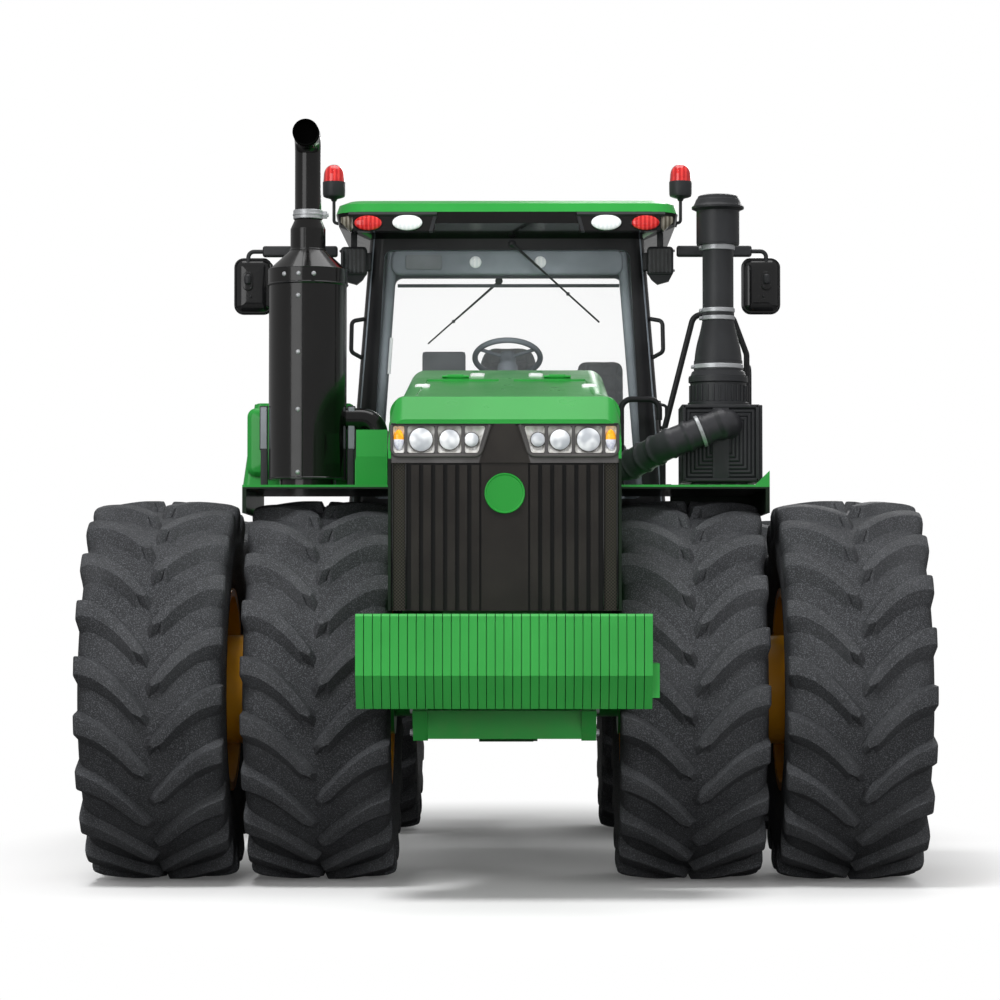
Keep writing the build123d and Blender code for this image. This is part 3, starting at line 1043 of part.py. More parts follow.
with BuildPart() as exhaust:
    def at(z):
        """Point on the muffler's axis."""
        return (EXHAUST_X, EXHAUST_Y, z)
    bar(at(PLATFORM_TOP), at(MUFFLER_Z[0]), MUFFLER_FOOT_R)
    bar(at(MUFFLER_Z[0]), at(MUFFLER_Z[1]), MUFFLER_R)
    bar(at(MUFFLER_BAND[0]), at(MUFFLER_BAND[1]), MUFFLER_R + 6)
    cone(at(MUFFLER_BAND[1]), at(NECK_Z[0]), MUFFLER_R, NECK_R)
    bar(at(NECK_Z[0]), at(NECK_Z[1]), NECK_R)
    cone(at(NECK_Z[1]), at(STACK_CONE_Z), NECK_R, STACK_R)
    bar(at(STACK_CLAMP_Z[0]), at(STACK_CLAMP_Z[1]), STACK_R + 6)
    mouth_y = EXHAUST_Y - STACK_BEND_R - STACK_MOUTH
    mouth = (EXHAUST_X, mouth_y, STACK_BEND_Z)
    pipe([at(STACK_CLAMP_Z[1]), at(STACK_BEND_Z), mouth], STACK_R, STACK_BEND_R)
    bar((EXHAUST_X, mouth_y - 1, STACK_BEND_Z), (EXHAUST_X, EXHAUST_Y - STACK_BEND_R / 2, STACK_BEND_Z),
        STACK_R - STACK_WALL, mode=Mode.SUBTRACT)
    # pipe from the engine, through the cowl's side
    pipe_y = EXHAUST_Y + EXHAUST_PIPE_BACK
    elbow_x = -HOOD_HALF_W - EXHAUST_ELBOW_OUT
    pipe([(-HOOD_HALF_W - FIT, pipe_y, EXHAUST_PIPE_Z[0]), (elbow_x, pipe_y, EXHAUST_PIPE_Z[0]),
          (elbow_x, pipe_y, EXHAUST_PIPE_Z[1]), (EXHAUST_X + MUFFLER_R / 2, pipe_y, EXHAUST_PIPE_Z[1])],
         EXHAUST_PIPE_R, EXHAUST_PIPE_BEND)
finish(exhaust, "exhaust")

# battery box behind the muffler, and the small box beside the cowl
BOX_Y = (EXHAUST_Y + MUFFLER_R + 40.0, PLATFORM_Y[1] - 20.0)
BOX_X = (-1195.0, -1165.0)   # middle of the battery box, at the bottom and at the top
BOX_W = (640.0, 560.0)
BOX_TOP = 2660.0
BOX_LEAN = 30.0
BOX_CORNER_R = 40.0
SMALL_BOX = [(-835.0, PLATFORM_TOP), (-656.0, PLATFORM_TOP), (-656.0, 2478.0), (-790.0, 2478.0),
             (-835.0, 2306.0)]
SMALL_BOX_Y = (EXHAUST_Y - 330.0, EXHAUST_Y - 60.0)
with BuildPart() as side_boxes:
    with BuildSketch(Plane.XY.offset(PLATFORM_TOP)) as low:
        with Locations((BOX_X[0], sum(BOX_Y) / 2)):
            RectangleRounded(BOX_W[0], BOX_Y[1] - BOX_Y[0], BOX_CORNER_R)
    with BuildSketch(Plane.XY.offset(BOX_TOP)) as high:
        with Locations((BOX_X[1], sum(BOX_Y) / 2)):
            RectangleRounded(BOX_W[1], BOX_Y[1] - BOX_Y[0] - BOX_LEAN, BOX_CORNER_R)
    loft([low.sketch, high.sketch], ruled=True)
    with BuildSketch(Plane(origin=(0, SMALL_BOX_Y[0], 0), x_dir=(1, 0, 0), z_dir=(0, -1, 0))) as section:
        with BuildLine():
            Polyline(*SMALL_BOX, close=True)
        make_face()
    extrude(section.sketch, amount=SMALL_BOX_Y[0] - SMALL_BOX_Y[1])
finish(side_boxes, "side_boxes")

# ---------------------------------------------------------------- air cleaner, on the left platform
CLEANER_X = 1195.0
CLEANER_Y = FRONT_AXLE_Y + 260.0
CLEANER_BOX_HALF = 215.0
CLEANER_BOX_Z = (2197.0, 2629.0)
CLEANER_PROFILE = [  # z of the lower end, z of the upper end, lower radius, upper radius
    (2629.0, 2786.0, 156.0, 156.0),
    (2786.0, 2800.0, 166.0, 166.0),
    (2800.0, 2840.0, 152.0, 134.0),
    (2840.0, 2888.0, 137.0, 137.0),
    (2888.0, 2990.0, 132.0, 118.0),
    (2990.0, 3118.0, 118.0, 86.0),
    (3118.0, 3186.0, 91.0, 91.0),
    (3186.0, 3514.0, 85.0, 85.0),
    (3514.0, 3545.0, 91.0, 91.0),
    (3545.0, 3750.0, 120.0, 120.0),
    (3750.0, 3762.0, 146.0, 146.0),
    (3762.0, 3806.0, 136.0, 120.0),
    (3806.0, 3826.0, 114.0, 96.0),
]
HOSE_R = 80.0
HOSE_LOW_Z = 2290.0
HOSE_HIGH_Z = 2520.0
HOSE_RUN_BACK = 200.0        # how far the hose runs back to reach the cowl
HOSE_NECK = 120.0            # straight length out of the cowl
HOSE_KNEE = (330.0, 110.0)   # from the cowl, and above its lower end
HOSE_BEND = 90.0
CLEANER_FOOT_HALF = 150.0
with BuildPart() as air_cleaner:
    for half, z in ((CLEANER_FOOT_HALF, (PLATFORM_TOP, CLEANER_BOX_Z[0])), (CLEANER_BOX_HALF, CLEANER_BOX_Z)):
        block((CLEANER_X - half, CLEANER_X + half), (CLEANER_Y - half, CLEANER_Y + half), z)
    for low, high, low_r, high_r in CLEANER_PROFILE:
        cone((CLEANER_X, CLEANER_Y, low), (CLEANER_X, CLEANER_Y, high), low_r, high_r)
    # hose down to the engine, into the cowl's side
    hose_y = CLEANER_Y - CLEANER_BOX_HALF - 0.75 * HOSE_R
    pipe([(HOOD_HALF_W + FIT, hose_y + HOSE_RUN_BACK, HOSE_LOW_Z),
          (HOOD_HALF_W + HOSE_NECK, hose_y + HOSE_RUN_BACK, HOSE_LOW_Z),
          (HOOD_HALF_W + HOSE_KNEE[0], hose_y, HOSE_LOW_Z + HOSE_KNEE[1]),
          (CLEANER_X, hose_y, HOSE_HIGH_Z)], HOSE_R, HOSE_BEND)
finish(air_cleaner, "air_cleaner")

# ---------------------------------------------------------------- handrails and ladder
RAIL_TUBE_R = 17.0
RAIL_BEND = 60.0
STACK_RAIL_Y = PLATFORM_Y[1] - 60.0
STACK_RAILS = [  # (x, z) points of the rails behind the air cleaner
    [(1385.0, PLATFORM_TOP), (1385.0, 2960.0), (1300.0, 3190.0), (1080.0, 3190.0), (900.0, 2490.0),
     (900.0, PLATFORM_TOP)],
    [(660.0, PLATFORM_TOP), (660.0, 2700.0), (880.0, 2700.0), (880.0, 2580.0)],
]
LANDING_RAIL_X = 1405.0
LANDING_RAIL_Y = (PLATFORM_Y[1] + 60.0, -420.0)
LANDING_RAIL_TOP = 2900.0
STEP_YS = (-590.0, -170.0)   # front faces of the two stringers
STRINGER_T = 25.0
STEP_XS = [1370.0, 1290.0, 1210.0, 1130.0]
STEP_ZS = [560.0, 900.0, 1240.0, 1580.0]
STEP_DEPTH = 190.0
STEP_T = 30.0
STRINGER_FOOT = 60.0         # below the lowest step
STRINGER_OUTLINE = [
    (STEP_XS[0] - 20.0, STEP_ZS[0] - STRINGER_FOOT),
    (STEP_XS[0] + STEP_DEPTH / 2, STEP_ZS[0] - STRINGER_FOOT),
    (LANDING_INNER_X + 255.0, CAB_FLOOR_Z - PLATFORM_T), (LANDING_INNER_X + 60.0, CAB_FLOOR_Z - PLATFORM_T),
]
with BuildPart() as handrails:
    for rail in STACK_RAILS:
        pipe([(x, STACK_RAIL_Y, z) for x, z in rail], RAIL_TUBE_R, RAIL_BEND)
    front_y, back_y = LANDING_RAIL_Y
    pipe([(LANDING_RAIL_X, front_y, CAB_FLOOR_Z), (LANDING_RAIL_X, front_y, LANDING_RAIL_TOP),
          (LANDING_RAIL_X, back_y, LANDING_RAIL_TOP), (LANDING_RAIL_X, back_y, CAB_FLOOR_Z)],
         RAIL_TUBE_R, RAIL_BEND)
finish(handrails, "handrails")

with BuildPart() as ladder:
    for y in STEP_YS:
        with BuildSketch(Plane(origin=(0, y, 0), x_dir=(1, 0, 0), z_dir=(0, -1, 0))) as section:
            with BuildLine():
                Polyline(*STRINGER_OUTLINE, close=True)
            make_face()
        extrude(section.sketch, amount=-STRINGER_T)
    for x, z in zip(STEP_XS, STEP_ZS):
        block((x - STEP_DEPTH / 2, x + STEP_DEPTH / 2), (STEP_YS[0], STEP_YS[1] + STRINGER_T),
              (z, z + STEP_T))
finish(ladder, "ladder")

# ---------------------------------------------------------------- mirrors
MIRROR_X = (1362.0, 1588.0)
MIRROR_Z = (3200.0, 3530.0)
MIRROR_HALF_T = 30.0
MIRROR_CORNER_R = 55.0
MIRROR_ARM_END = 1425.0
MIRROR_ARM_Z = (3540.0, 3592.0)
MIRROR_ARM_HALF_T = 25.0
MIRROR_TUBE_R = 13.0
MIRROR_TUBE_BEND = 28.0
MIRROR_TUBE_OUT = 30.0       # of the mirror's middle
with BuildPart() as mirrors:
    mirror_x, arm_y = sum(MIRROR_X) / 2, sum(CORNER_LAMP_Y) / 2
    arm_z, tube_x = sum(MIRROR_ARM_Z) / 2, mirror_x + MIRROR_TUBE_OUT
    for side in (1, -1):
        block(sorted((side * (CORNER_LAMP_X[1] + FIT), side * MIRROR_ARM_END)),
              (arm_y - MIRROR_ARM_HALF_T, arm_y + MIRROR_ARM_HALF_T), MIRROR_ARM_Z)
        pipe([(side * MIRROR_ARM_END, arm_y, arm_z), (side * tube_x, arm_y, arm_z),
              (side * tube_x, arm_y, MIRROR_Z[1] - MIRROR_HALF_T)], MIRROR_TUBE_R, MIRROR_TUBE_BEND)
        plane = Plane(origin=(side * mirror_x, arm_y - MIRROR_HALF_T, sum(MIRROR_Z) / 2), x_dir=(1, 0, 0),
                      z_dir=(0, 1, 0))
        with BuildSketch(plane) as section:
            RectangleRounded(MIRROR_X[1] - MIRROR_X[0], MIRROR_Z[1] - MIRROR_Z[0], MIRROR_CORNER_R)
        extrude(section.sketch, amount=2 * MIRROR_HALF_T)
finish(mirrors, "mirrors")

# ---------------------------------------------------------------- inside the cab
WHEEL_R = 195.0
WHEEL_GRIP_R = 17.0
WHEEL_CENTRE = (0.0, -400.0, 2990.0)
WHEEL_TILT = 28.0
WHEEL_HUB_R = 50.0
WHEEL_HUB_RISE = 18.0
WHEEL_HUB_DROP = 60.0
SPOKE_R = 11.0
COLUMN_R = (95.0, 60.0)      # at the dash and under the wheel
DASH_X = (-260.0, 260.0)
DASH_Y = (-760.0, -560.0)
DASH_TOP = 2560.0
DRIVER_SEAT = {"x": (-250.0, 250.0), "y": (-100.0, 400.0),
               "back_x": (-215.0, 215.0), "back_y": (330.0, 450.0),
               "foot_top": 2440.0, "top": 2600.0, "back_top": 3150.0}
PASSENGER_SEAT = {"x": (395.0, 755.0), "y": (110.0, 470.0),
                  "back_x": (395.0, 755.0), "back_y": (400.0, 490.0),
                  "foot_top": 2390.0, "top": 2520.0, "back_top": 3070.0}
SEAT_FOOT_INSET = 40.0
SIDE_CONSOLE = ((-520.0, -300.0), (-160.0, 520.0), (CAB_FLOOR_Z, 2700.0))
SCREEN_POST = (-385.0, -120.0)
SCREEN_POST_R = 20.0
SCREEN_POST_TOP = 2860.0
MONITOR = ((-515.0, -260.0), (-150.0, -105.0), (2840.0, 3045.0))

with BuildPart() as cab_console:
    for seat in (DRIVER_SEAT, PASSENGER_SEAT):
        inset = SEAT_FOOT_INSET
        block((seat["x"][0] + inset, seat["x"][1] - inset), (seat["y"][0] + inset, seat["y"][1]),
              (CAB_FLOOR_Z, seat["foot_top"]))
    block(*SIDE_CONSOLE)
    bar((*SCREEN_POST, SIDE_CONSOLE[2][1]), (*SCREEN_POST, SCREEN_POST_TOP), SCREEN_POST_R)
    block(*MONITOR)
    block(DASH_X, DASH_Y, (CAB_FLOOR_Z, DASH_TOP))
finish(cab_console, "cab_console")

with BuildPart() as steering_column:
    lean = radians(WHEEL_TILT)
    face = Plane(origin=WHEEL_CENTRE, x_dir=(1, 0, 0), z_dir=(0, sin(lean), cos(lean)))
    rim_plane = Plane(origin=Vector(*WHEEL_CENTRE) + face.x_dir * WHEEL_R, x_dir=face.x_dir, z_dir=face.y_dir)
    with BuildSketch(rim_plane) as grip:
        Circle(WHEEL_GRIP_R)
    revolve(grip.sketch, axis=Axis(WHEEL_CENTRE, face.z_dir))
    for angle in (90, 210, 330):
        out = face.x_dir * cos(radians(angle)) + face.y_dir * sin(radians(angle))
        bar(WHEEL_CENTRE, tuple(Vector(*WHEEL_CENTRE) + out * WHEEL_R), SPOKE_R)
    hub = Vector(*WHEEL_CENTRE) + face.z_dir * WHEEL_HUB_RISE
    foot = Vector(*WHEEL_CENTRE) - face.z_dir * WHEEL_HUB_DROP
    bar(tuple(foot), tuple(hub), WHEEL_HUB_R)
    with BuildSketch(Plane.XY.offset(DASH_TOP + FIT)) as base:
        with Locations((0, sum(DASH_Y) / 2)):
            Circle(COLUMN_R[0])
    with BuildSketch(Plane(origin=foot, x_dir=face.x_dir, z_dir=face.z_dir)) as neck:
        Circle(COLUMN_R[1])
    loft([base.sketch, neck.sketch])
finish(steering_column, "steering_column")

with BuildPart() as seats:
    for seat in (DRIVER_SEAT, PASSENGER_SEAT):
        block(seat["x"], seat["y"], (seat["foot_top"] + FIT, seat["top"]))
        block(seat["back_x"], seat["back_y"], (seat["top"] + FIT, seat["back_top"]))
finish(seats, "seats")
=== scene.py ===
"""Looks of an articulated farm tractor on dual wheels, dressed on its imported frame.

Metres. The front points to -Y, the tractor's left side to +X, and the tyres stand on Z = 0.
Each new piece is a surface worked out with numpy: rows and columns of points that a formula places.
"""
from math import cos, pi, radians, sin, tau

import bmesh
import bpy
import numpy as np
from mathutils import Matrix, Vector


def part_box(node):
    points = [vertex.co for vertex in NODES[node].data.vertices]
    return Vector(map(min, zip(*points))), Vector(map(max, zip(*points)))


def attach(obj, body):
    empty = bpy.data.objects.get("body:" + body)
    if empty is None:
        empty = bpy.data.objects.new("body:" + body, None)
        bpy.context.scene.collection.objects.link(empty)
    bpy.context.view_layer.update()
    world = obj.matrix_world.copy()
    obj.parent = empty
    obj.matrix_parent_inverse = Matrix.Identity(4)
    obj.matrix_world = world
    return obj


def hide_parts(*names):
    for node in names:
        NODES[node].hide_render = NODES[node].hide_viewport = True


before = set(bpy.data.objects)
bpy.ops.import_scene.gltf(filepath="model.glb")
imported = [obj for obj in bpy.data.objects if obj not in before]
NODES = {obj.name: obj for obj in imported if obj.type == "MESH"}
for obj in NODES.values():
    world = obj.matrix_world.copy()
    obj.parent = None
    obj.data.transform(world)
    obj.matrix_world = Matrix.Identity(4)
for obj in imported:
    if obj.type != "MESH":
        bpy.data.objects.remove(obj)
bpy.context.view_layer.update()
X, Y, Z = np.eye(3)
SIDES, SIDE_NAMES = (1, -1), ("left", "right")          # the tractor's own


# ---------------------------------------------------------------- places taken from the frame
def span(node):
    """Lowest and highest corner of a CAD node, as two arrays."""
    low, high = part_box(node)
    return np.array(low), np.array(high)


TYRE_LOW, TYRE_HIGH = span("tyres_front_left")
TYRE_HALF_W = 0.395
AXLE_Z = (TYRE_LOW[2] + TYRE_HIGH[2]) / 2
INNER_X, OUTER_X = TYRE_LOW[0] + TYRE_HALF_W, TYRE_HIGH[0] - TYRE_HALF_W
AXLE_Y = {"front": sum(span("tyres_front_left"))[1] / 2, "rear": sum(span("tyres_rear_left"))[1] / 2}
FRONT_AXLE_Y = AXLE_Y["front"]
WHEELS = [(f"{end}_{name}", side, y) for end, y in AXLE_Y.items() for name, side in zip(SIDE_NAMES, SIDES)]
NOSE_Y = span("hood")[0][1]
PIVOT_Y = 0.250              # the articulation's pins
CAB_FOOT_Z, CAB_WALL_H = 2.050, 1.590


def cab_wall(z):
    """Half width, front and rear of the cab's outer faces at a height: they lean with it."""
    share = (z - CAB_FOOT_Z) / CAB_WALL_H
    return 0.930 - 0.130 * share, -0.890 - 0.070 * share, 0.700 - 0.060 * share


# ---------------------------------------------------------------- camera and lights
LENS_MM, SENSOR_MM = 113.4, 36.0
CAMERA_PLACE = (0.104, FRONT_AXLE_Y - 17.5, 1.49)
CAMERA_UP, CAMERA_TURN = 1.978, 0.455        # degrees above the level, and towards the right side
LIGHTS = [  # name, place, target, size, power, seen in gloss
    ("key", (-3.0, -10.5, 13.5), (0, -1.0, 1.6), 3.5, 1750, False),
    ("card", (-8.0, -13.5, 5.5), (0, 0, 2.4), 8.0, 280, True),
    ("fill", (9.0, -12.0, 6.0), (0, 0, 1.6), 7.0, 380, False),
    ("front", (2.0, -16.0, 2.2), (0, 0, 1.6), 6.0, 640, False),
    ("top", (0, 0.5, 13.0), (0, 0.2, 0), 9.0, 420, True),
    ("rear", (4.0, 12.0, 9.0), (0, 0, 1.6), 7.0, 620, True),
]


def set_camera():
    """Camera straight ahead of the tractor, a little above the hub, with a long lens."""
    lens = bpy.data.cameras.new("camera")
    lens.lens, lens.sensor_width = LENS_MM, SENSOR_MM
    lens.clip_end = 200.0
    camera = bpy.data.objects.new("camera", lens)
    camera.location = CAMERA_PLACE
    camera.rotation_euler = (radians(90 + CAMERA_UP), 0, radians(CAMERA_TURN))
    bpy.context.scene.collection.objects.link(camera)
    bpy.context.scene.camera = camera


def area_light(name, place, target, size, power, glossy):
    """Square soft light that faces a point; it can be left out of reflections."""
    light = bpy.data.lights.new(name, "AREA")
    light.shape, light.size, light.energy = "SQUARE", size, power
    lamp = bpy.data.objects.new(name, light)
    lamp.location = place
    lamp.rotation_euler = (lamp.location - Vector(target)).to_track_quat("Z", "Y").to_euler()
    lamp.visible_glossy = glossy
    bpy.context.scene.collection.objects.link(lamp)


set_camera()
bpy.context.scene.view_settings.view_transform = "Standard"
for light_row in LIGHTS:
    area_light(*light_row)


# ---------------------------------------------------------------- shader maths
class Num:
    """A number that varies over a surface: an operator on it adds a Math node."""

    def __init__(self, finish, socket):
        self.finish, self.socket = finish, socket

    def math(self, operation, *values):
        """Math node of an operation, on these values in their order."""
        return self.finish.node("ShaderNodeMath", {"operation": operation}, dict(enumerate(values)))

    def __add__(self, other): return self.math("ADD", self, other)
    def __radd__(self, other): return self.math("ADD", other, self)
    def __sub__(self, other): return self.math("SUBTRACT", self, other)
    def __rsub__(self, other): return self.math("SUBTRACT", other, self)
    def __mul__(self, other): return self.math("MULTIPLY", self, other)
    def __rmul__(self, other): return self.math("MULTIPLY", other, self)
    def __truediv__(self, other): return self.math("DIVIDE", self, other)
    def __rtruediv__(self, other): return self.math("DIVIDE", other, self)
    def __pow__(self, other): return self.math("POWER", self, other)
    def __gt__(self, other): return self.math("GREATER_THAN", self, other)
    def __lt__(self, other): return self.math("LESS_THAN", self, other)
    def __abs__(self): return self.math("ABSOLUTE", self)

    def wave(self):
        """Sine of the number."""
        return self.math("SINE", self)

    def least(self, other):
        """The smaller of two numbers."""
        return self.math("MINIMUM", self, other)

    def step(self, low, high):
        """0 below low, 1 above high, and a smooth rise between."""
        return self.finish.node("ShaderNodeMapRange", {"interpolation_type": "SMOOTHSTEP"},
                                {"Value": self, "From Min": low, "From Max": high})


def srgb(red, green, blue):
    """Linear colour of three display values from 0 to 255."""
    values = np.array([red, green, blue]) / 255
    linear = np.where(values > 0.04045, ((values + 0.055) / 1.055) ** 2.4, values / 12.92)
    return (*linear, 1.0)


def toned(colour, share):
    """Colour made darker or lighter by a share, up to white."""
    return tuple(min(1.0, channel * share) for channel in colour[:3]) + (1.0,)


FINISHES = {}            # every material made here, by its name


class Finish:
    """A material, with what its shader varies by. Its coordinates are the object's, in metres."""

    def __init__(self, name, colour, roughness, **sockets):
        FINISHES[name] = self.material = bpy.data.materials.new(name)
        self.material.use_nodes = True
        self.tree = self.material.node_tree
        self.shader = self.tree.nodes["Principled BSDF"]
        self.places = None
        self.set("Base Color", colour)
        self.set("Roughness", roughness)
        for socket, value in sockets.items():
            self.set(socket.replace("_", " "), value)

    def put(self, target, value):
        """Link a varying value to a socket, or write a plain one on it."""
        if isinstance(value, Num):
            self.tree.links.new(value.socket, target)
        else:
            target.default_value = value

    def set(self, socket, value):
        """Give the shader's socket a value."""
        self.put(self.shader.inputs[socket], value)

    def node(self, kind, settings, inputs, output=0):
        """Node of a type, with its settings, and the values or links of its sockets."""
        made = self.tree.nodes.new(kind)
        for key, value in settings.items():
            setattr(made, key, value)
        for key, value in inputs.items():
            self.put(made.inputs[key], value)
        return Num(self, made.outputs[output])

    def point(self):
        """Object coordinates, as a vector."""
        if self.places is None:
            self.places = self.node("ShaderNodeTexCoord", {}, {}, "Object")
        return self.places

    def axes(self):
        """The three object coordinates, as numbers."""
        outputs = self.node("ShaderNodeSeparateXYZ", {}, {0: self.point()}).socket.node.outputs
        return [Num(self, outputs[axis]) for axis in "XYZ"]

    def noise(self, scale, detail=3.0):
        """Cloudy noise about 0.5, with so many waves a metre."""
        return self.node("ShaderNodeTexNoise", {}, {"Vector": self.point(), "Scale": scale, "Detail": detail})

    def mix(self, factor, low, high):
        """Colour between two, by a factor."""
        return self.node("ShaderNodeMix", {"data_type": "RGBA"}, {0: factor, 6: low, 7: high}, 2)

    def clouds(self, scale, low, high, detail=3.0, border=(0.3, 0.7)):
        """Colour that drifts between two in soft clouds."""
        return self.mix(self.noise(scale, detail).step(*border), low, high)

    def surface(self, colour, roughness, relief, depth):
        """Set the colour and roughness, and a relief from 0 to 1 that is as deep as depth."""
        self.set("Base Color", colour)
        self.set("Roughness", roughness)
        self.set("Normal", self.node("ShaderNodeBump", {}, {"Height": relief, "Distance": depth}))


# ---------------------------------------------------------------- finishes
DUST = srgb(120, 112, 90)
# Pale specks on the rubber's crests: painted highlights of its grain
RUBBER_GLINT_SPECKS = srgb(104, 106, 110)
LINING_T = 0.022             # thickness of the cab frame's black skin
# How deep and how high the hood's front faces go that are painted black-green as shade
HOOD_EDGE_DEPTH, HOOD_EDGE_TOP = 0.035, 2.262
FASCIA_REACH, FASCIA_TOP = 1.440, 2.150      # of the platforms' front, painted black-green as shade
SLAT_DEPTH, SCREEN_X = 0.014, 0.507
LAMP_PANEL = (0.072, 0.31, 2.4385)           # half width at a height, and its growth downwards
SIGNAL_SPLIT_Z = 2.3605


def paint(name, colour, deep, roughness=0.3):
    """Sprayed gloss paint: orange peel, faint cloudiness, and a film of dust low down."""
    made = Finish(name, colour, roughness, Coat_Weight=0.35, Coat_Roughness=0.1, Specular_IOR_Level=0.4)
    low = 1 - made.axes()[2].step(0.4, 1.3)
    dust = made.noise(9.0, 5.0).step(0.45, 0.75) * low
    made.surface(made.mix(dust * 0.25, made.clouds(1.7, deep, colour), DUST),
                 roughness - 0.05 + 0.1 * made.noise(6.0) + 0.25 * dust, made.noise(260.0, 2.0), 0.0004)


def paint_with_shade(name, is_shaded):
    """Green paint, with painted shade in black-green on the places that the given test picks: faces the light
    misses.
    """
    made = Finish(name, GREEN, 0.28, Coat_Weight=0.2, Coat_Roughness=0.1, Specular_IOR_Level=0.4)
    dark = is_shaded(*made.axes())
    green = made.clouds(1.7, srgb(33, 133, 50), srgb(38, 142, 55))
    black = made.clouds(5.0, srgb(10, 22, 12), srgb(14, 32, 17))
    made.surface(made.mix(dark, green, black), 0.24 + 0.1 * made.noise(6.0) + 0.15 * dark,
                 made.noise(260.0, 2.0), 0.0004)


def rubber(name, low, high):
    """Tyre rubber: a pebbled grain with pale specks on its crests, painted as highlights of the grain."""
    made = Finish(name, low, 0.7, Specular_IOR_Level=0.35)
    pebble = made.noise(170.0, 2.0)
    base = made.clouds(3.5, low, high, border=(0.35, 0.7))
    made.surface(made.mix(pebble.step(0.5, 0.66) * 0.6, base, RUBBER_GLINT_SPECKS),
                 0.55 + 0.25 * made.noise(60.0), pebble * 0.8 + made.noise(420.0) * 0.3, 0.004)


def metal(name, colour, roughness, grain, depth, **sockets):
    """Coated or bare metal, or moulded plastic, with a grain and a cloudy roughness."""
    made = Finish(name, srgb(*colour), roughness, **sockets)
    base = made.clouds(4.0, toned(srgb(*colour), 0.72), srgb(*colour), 4.0, (0.3, 0.72))
    made.surface(base, roughness - 0.06 + 0.14 * made.noise(14.0, 4.0), made.noise(grain), depth)


def cab_shell():
    """Cab frame: satin black on its outer skin, pale grey lining inside."""
    made = Finish("cab_shell", srgb(26, 26, 28), 0.4, Coat_Weight=0.2)
    x, y, z = made.axes()
    wide, front, rear = cab_wall(z)
    inside = (wide - abs(x)).least(y - front).least(rear - y) > LINING_T
    grain = made.noise(420.0)
    outer = made.clouds(4.0, srgb(20, 20, 22), srgb(30, 30, 32), 4.0)
    inner = made.clouds(6.0, srgb(130, 138, 147), srgb(144, 152, 160), 4.0)
    made.surface(made.mix(inside, outer, inner), 0.34 + 0.3 * inside + 0.1 * grain, grain, 0.0008)


def lamp_housing():
    """Charcoal surround of the lamps, with a darker panel between the two slanted borders."""
    made = Finish("lamp_housing", srgb(72, 70, 70), 0.4)
    x, _, z = made.axes()
    half_w, growth, height = LAMP_PANEL
    grain = made.noise(420.0)
    surround = made.clouds(6.0, srgb(70, 68, 68), srgb(82, 80, 80))
    middle = made.clouds(6.0, srgb(34, 31, 29), srgb(42, 39, 36))
    made.surface(made.mix(abs(x) < half_w + growth * (height - z), surround, middle),
                 0.38 + 0.1 * grain, grain, 0.0008)


def headlamp():
    """Projector lens: cool grey glass with soft bright swirls painted on it as reflections, under a wet
    gloss.
    """
    made = Finish("headlamp", srgb(150, 153, 156), 0.1, Coat_Weight=1.0, Coat_Roughness=0.03)
    glint_swirl = made.noise(15.0, 1.0)
    made.surface(made.mix(glint_swirl.step(0.36, 0.68), srgb(178, 182, 188), srgb(236, 238, 240)),
                 0.05 + 0.1 * made.noise(12.0), glint_swirl, 0.002)


def grille():
    """Brown-black slats, with painted shade, near black, on the faces set back behind their fronts, and a
    woven mesh of fine dots on the side screens whose holes are painted near black as the shade behind it.
    """
    made = Finish("grille", srgb(26, 23, 21), 0.3, Coat_Weight=0.2)
    x, y, z = made.axes()
    screen = abs(x) > SCREEN_X
    weave = ((x * 370.0).wave() * (z * 370.0).wave()).step(-0.1, 0.2)
    cloud = made.noise(5.0, 4.0)
    slats = made.mix(cloud.step(0.3, 0.7), srgb(27, 24, 22), srgb(35, 32, 29))
    # Faces set back behind the slats' fronts: painted shade, near black
    slats = made.mix(y > NOSE_Y + SLAT_DEPTH, slats, srgb(5, 5, 5))
    # Holes of the mesh: painted shade, near black-green, for the space behind the screen
    mesh = made.mix(weave, srgb(5, 8, 5), srgb(62, 58, 50))
    made.surface(made.mix(screen, slats, mesh), 0.26 + 0.12 * cloud + 0.2 * screen,
                 weave * screen * 0.8 + made.noise(200.0, 2.0) * 0.1, 0.002)


def lens(name, colour, bright):
    """Moulded lamp lens: fine upright ribs, a brighter heart, and a wet gloss."""
    made = Finish(name, srgb(*colour), 0.08, Coat_Weight=1.0, Coat_Roughness=0.03, Specular_IOR_Level=0.6)
    rib = (made.axes()[0] * 260.0).wave() * 0.5 + 0.5
    cloud = made.noise(24.0)
    heart = (rib * 0.5 + cloud * 0.6).step(0.3, 0.9)
    made.surface(made.mix(heart, srgb(*colour), srgb(*bright)), 0.06 + 0.1 * cloud, rib, 0.0006)


def signal():
    """Side bulbs: amber above, clear with a cool tint below."""
    made = Finish("signal_bulbs", srgb(250, 176, 20), 0.1, Coat_Weight=1.0, Coat_Roughness=0.03)
    cloud = made.noise(60.0)
    upper = made.mix(cloud.step(0.3, 0.7), srgb(246, 150, 18), srgb(255, 196, 40))
    lower = made.mix(cloud.step(0.3, 0.7), srgb(196, 198, 216), srgb(236, 238, 244))
    made.surface(made.mix(made.axes()[2] > SIGNAL_SPLIT_Z, lower, upper), 0.08 + 0.1 * cloud,
                 made.noise(220.0, 2.0), 0.0006)


def reflector():
    """Vapour-coated reflector: mirror-bright with soft flutes."""
    made = Finish("reflector", srgb(232, 232, 230), 0.12, Metallic=0.3, Coat_Weight=0.5)
    x, _, z = made.axes()
    flute = ((x * 150.0).wave() + (z * 150.0).wave()) * 0.25 + 0.5
    made.surface(made.mix(flute, srgb(206, 204, 198), srgb(246, 246, 244)),
                 0.14 + 0.12 * made.noise(40.0), flute, 0.0016)


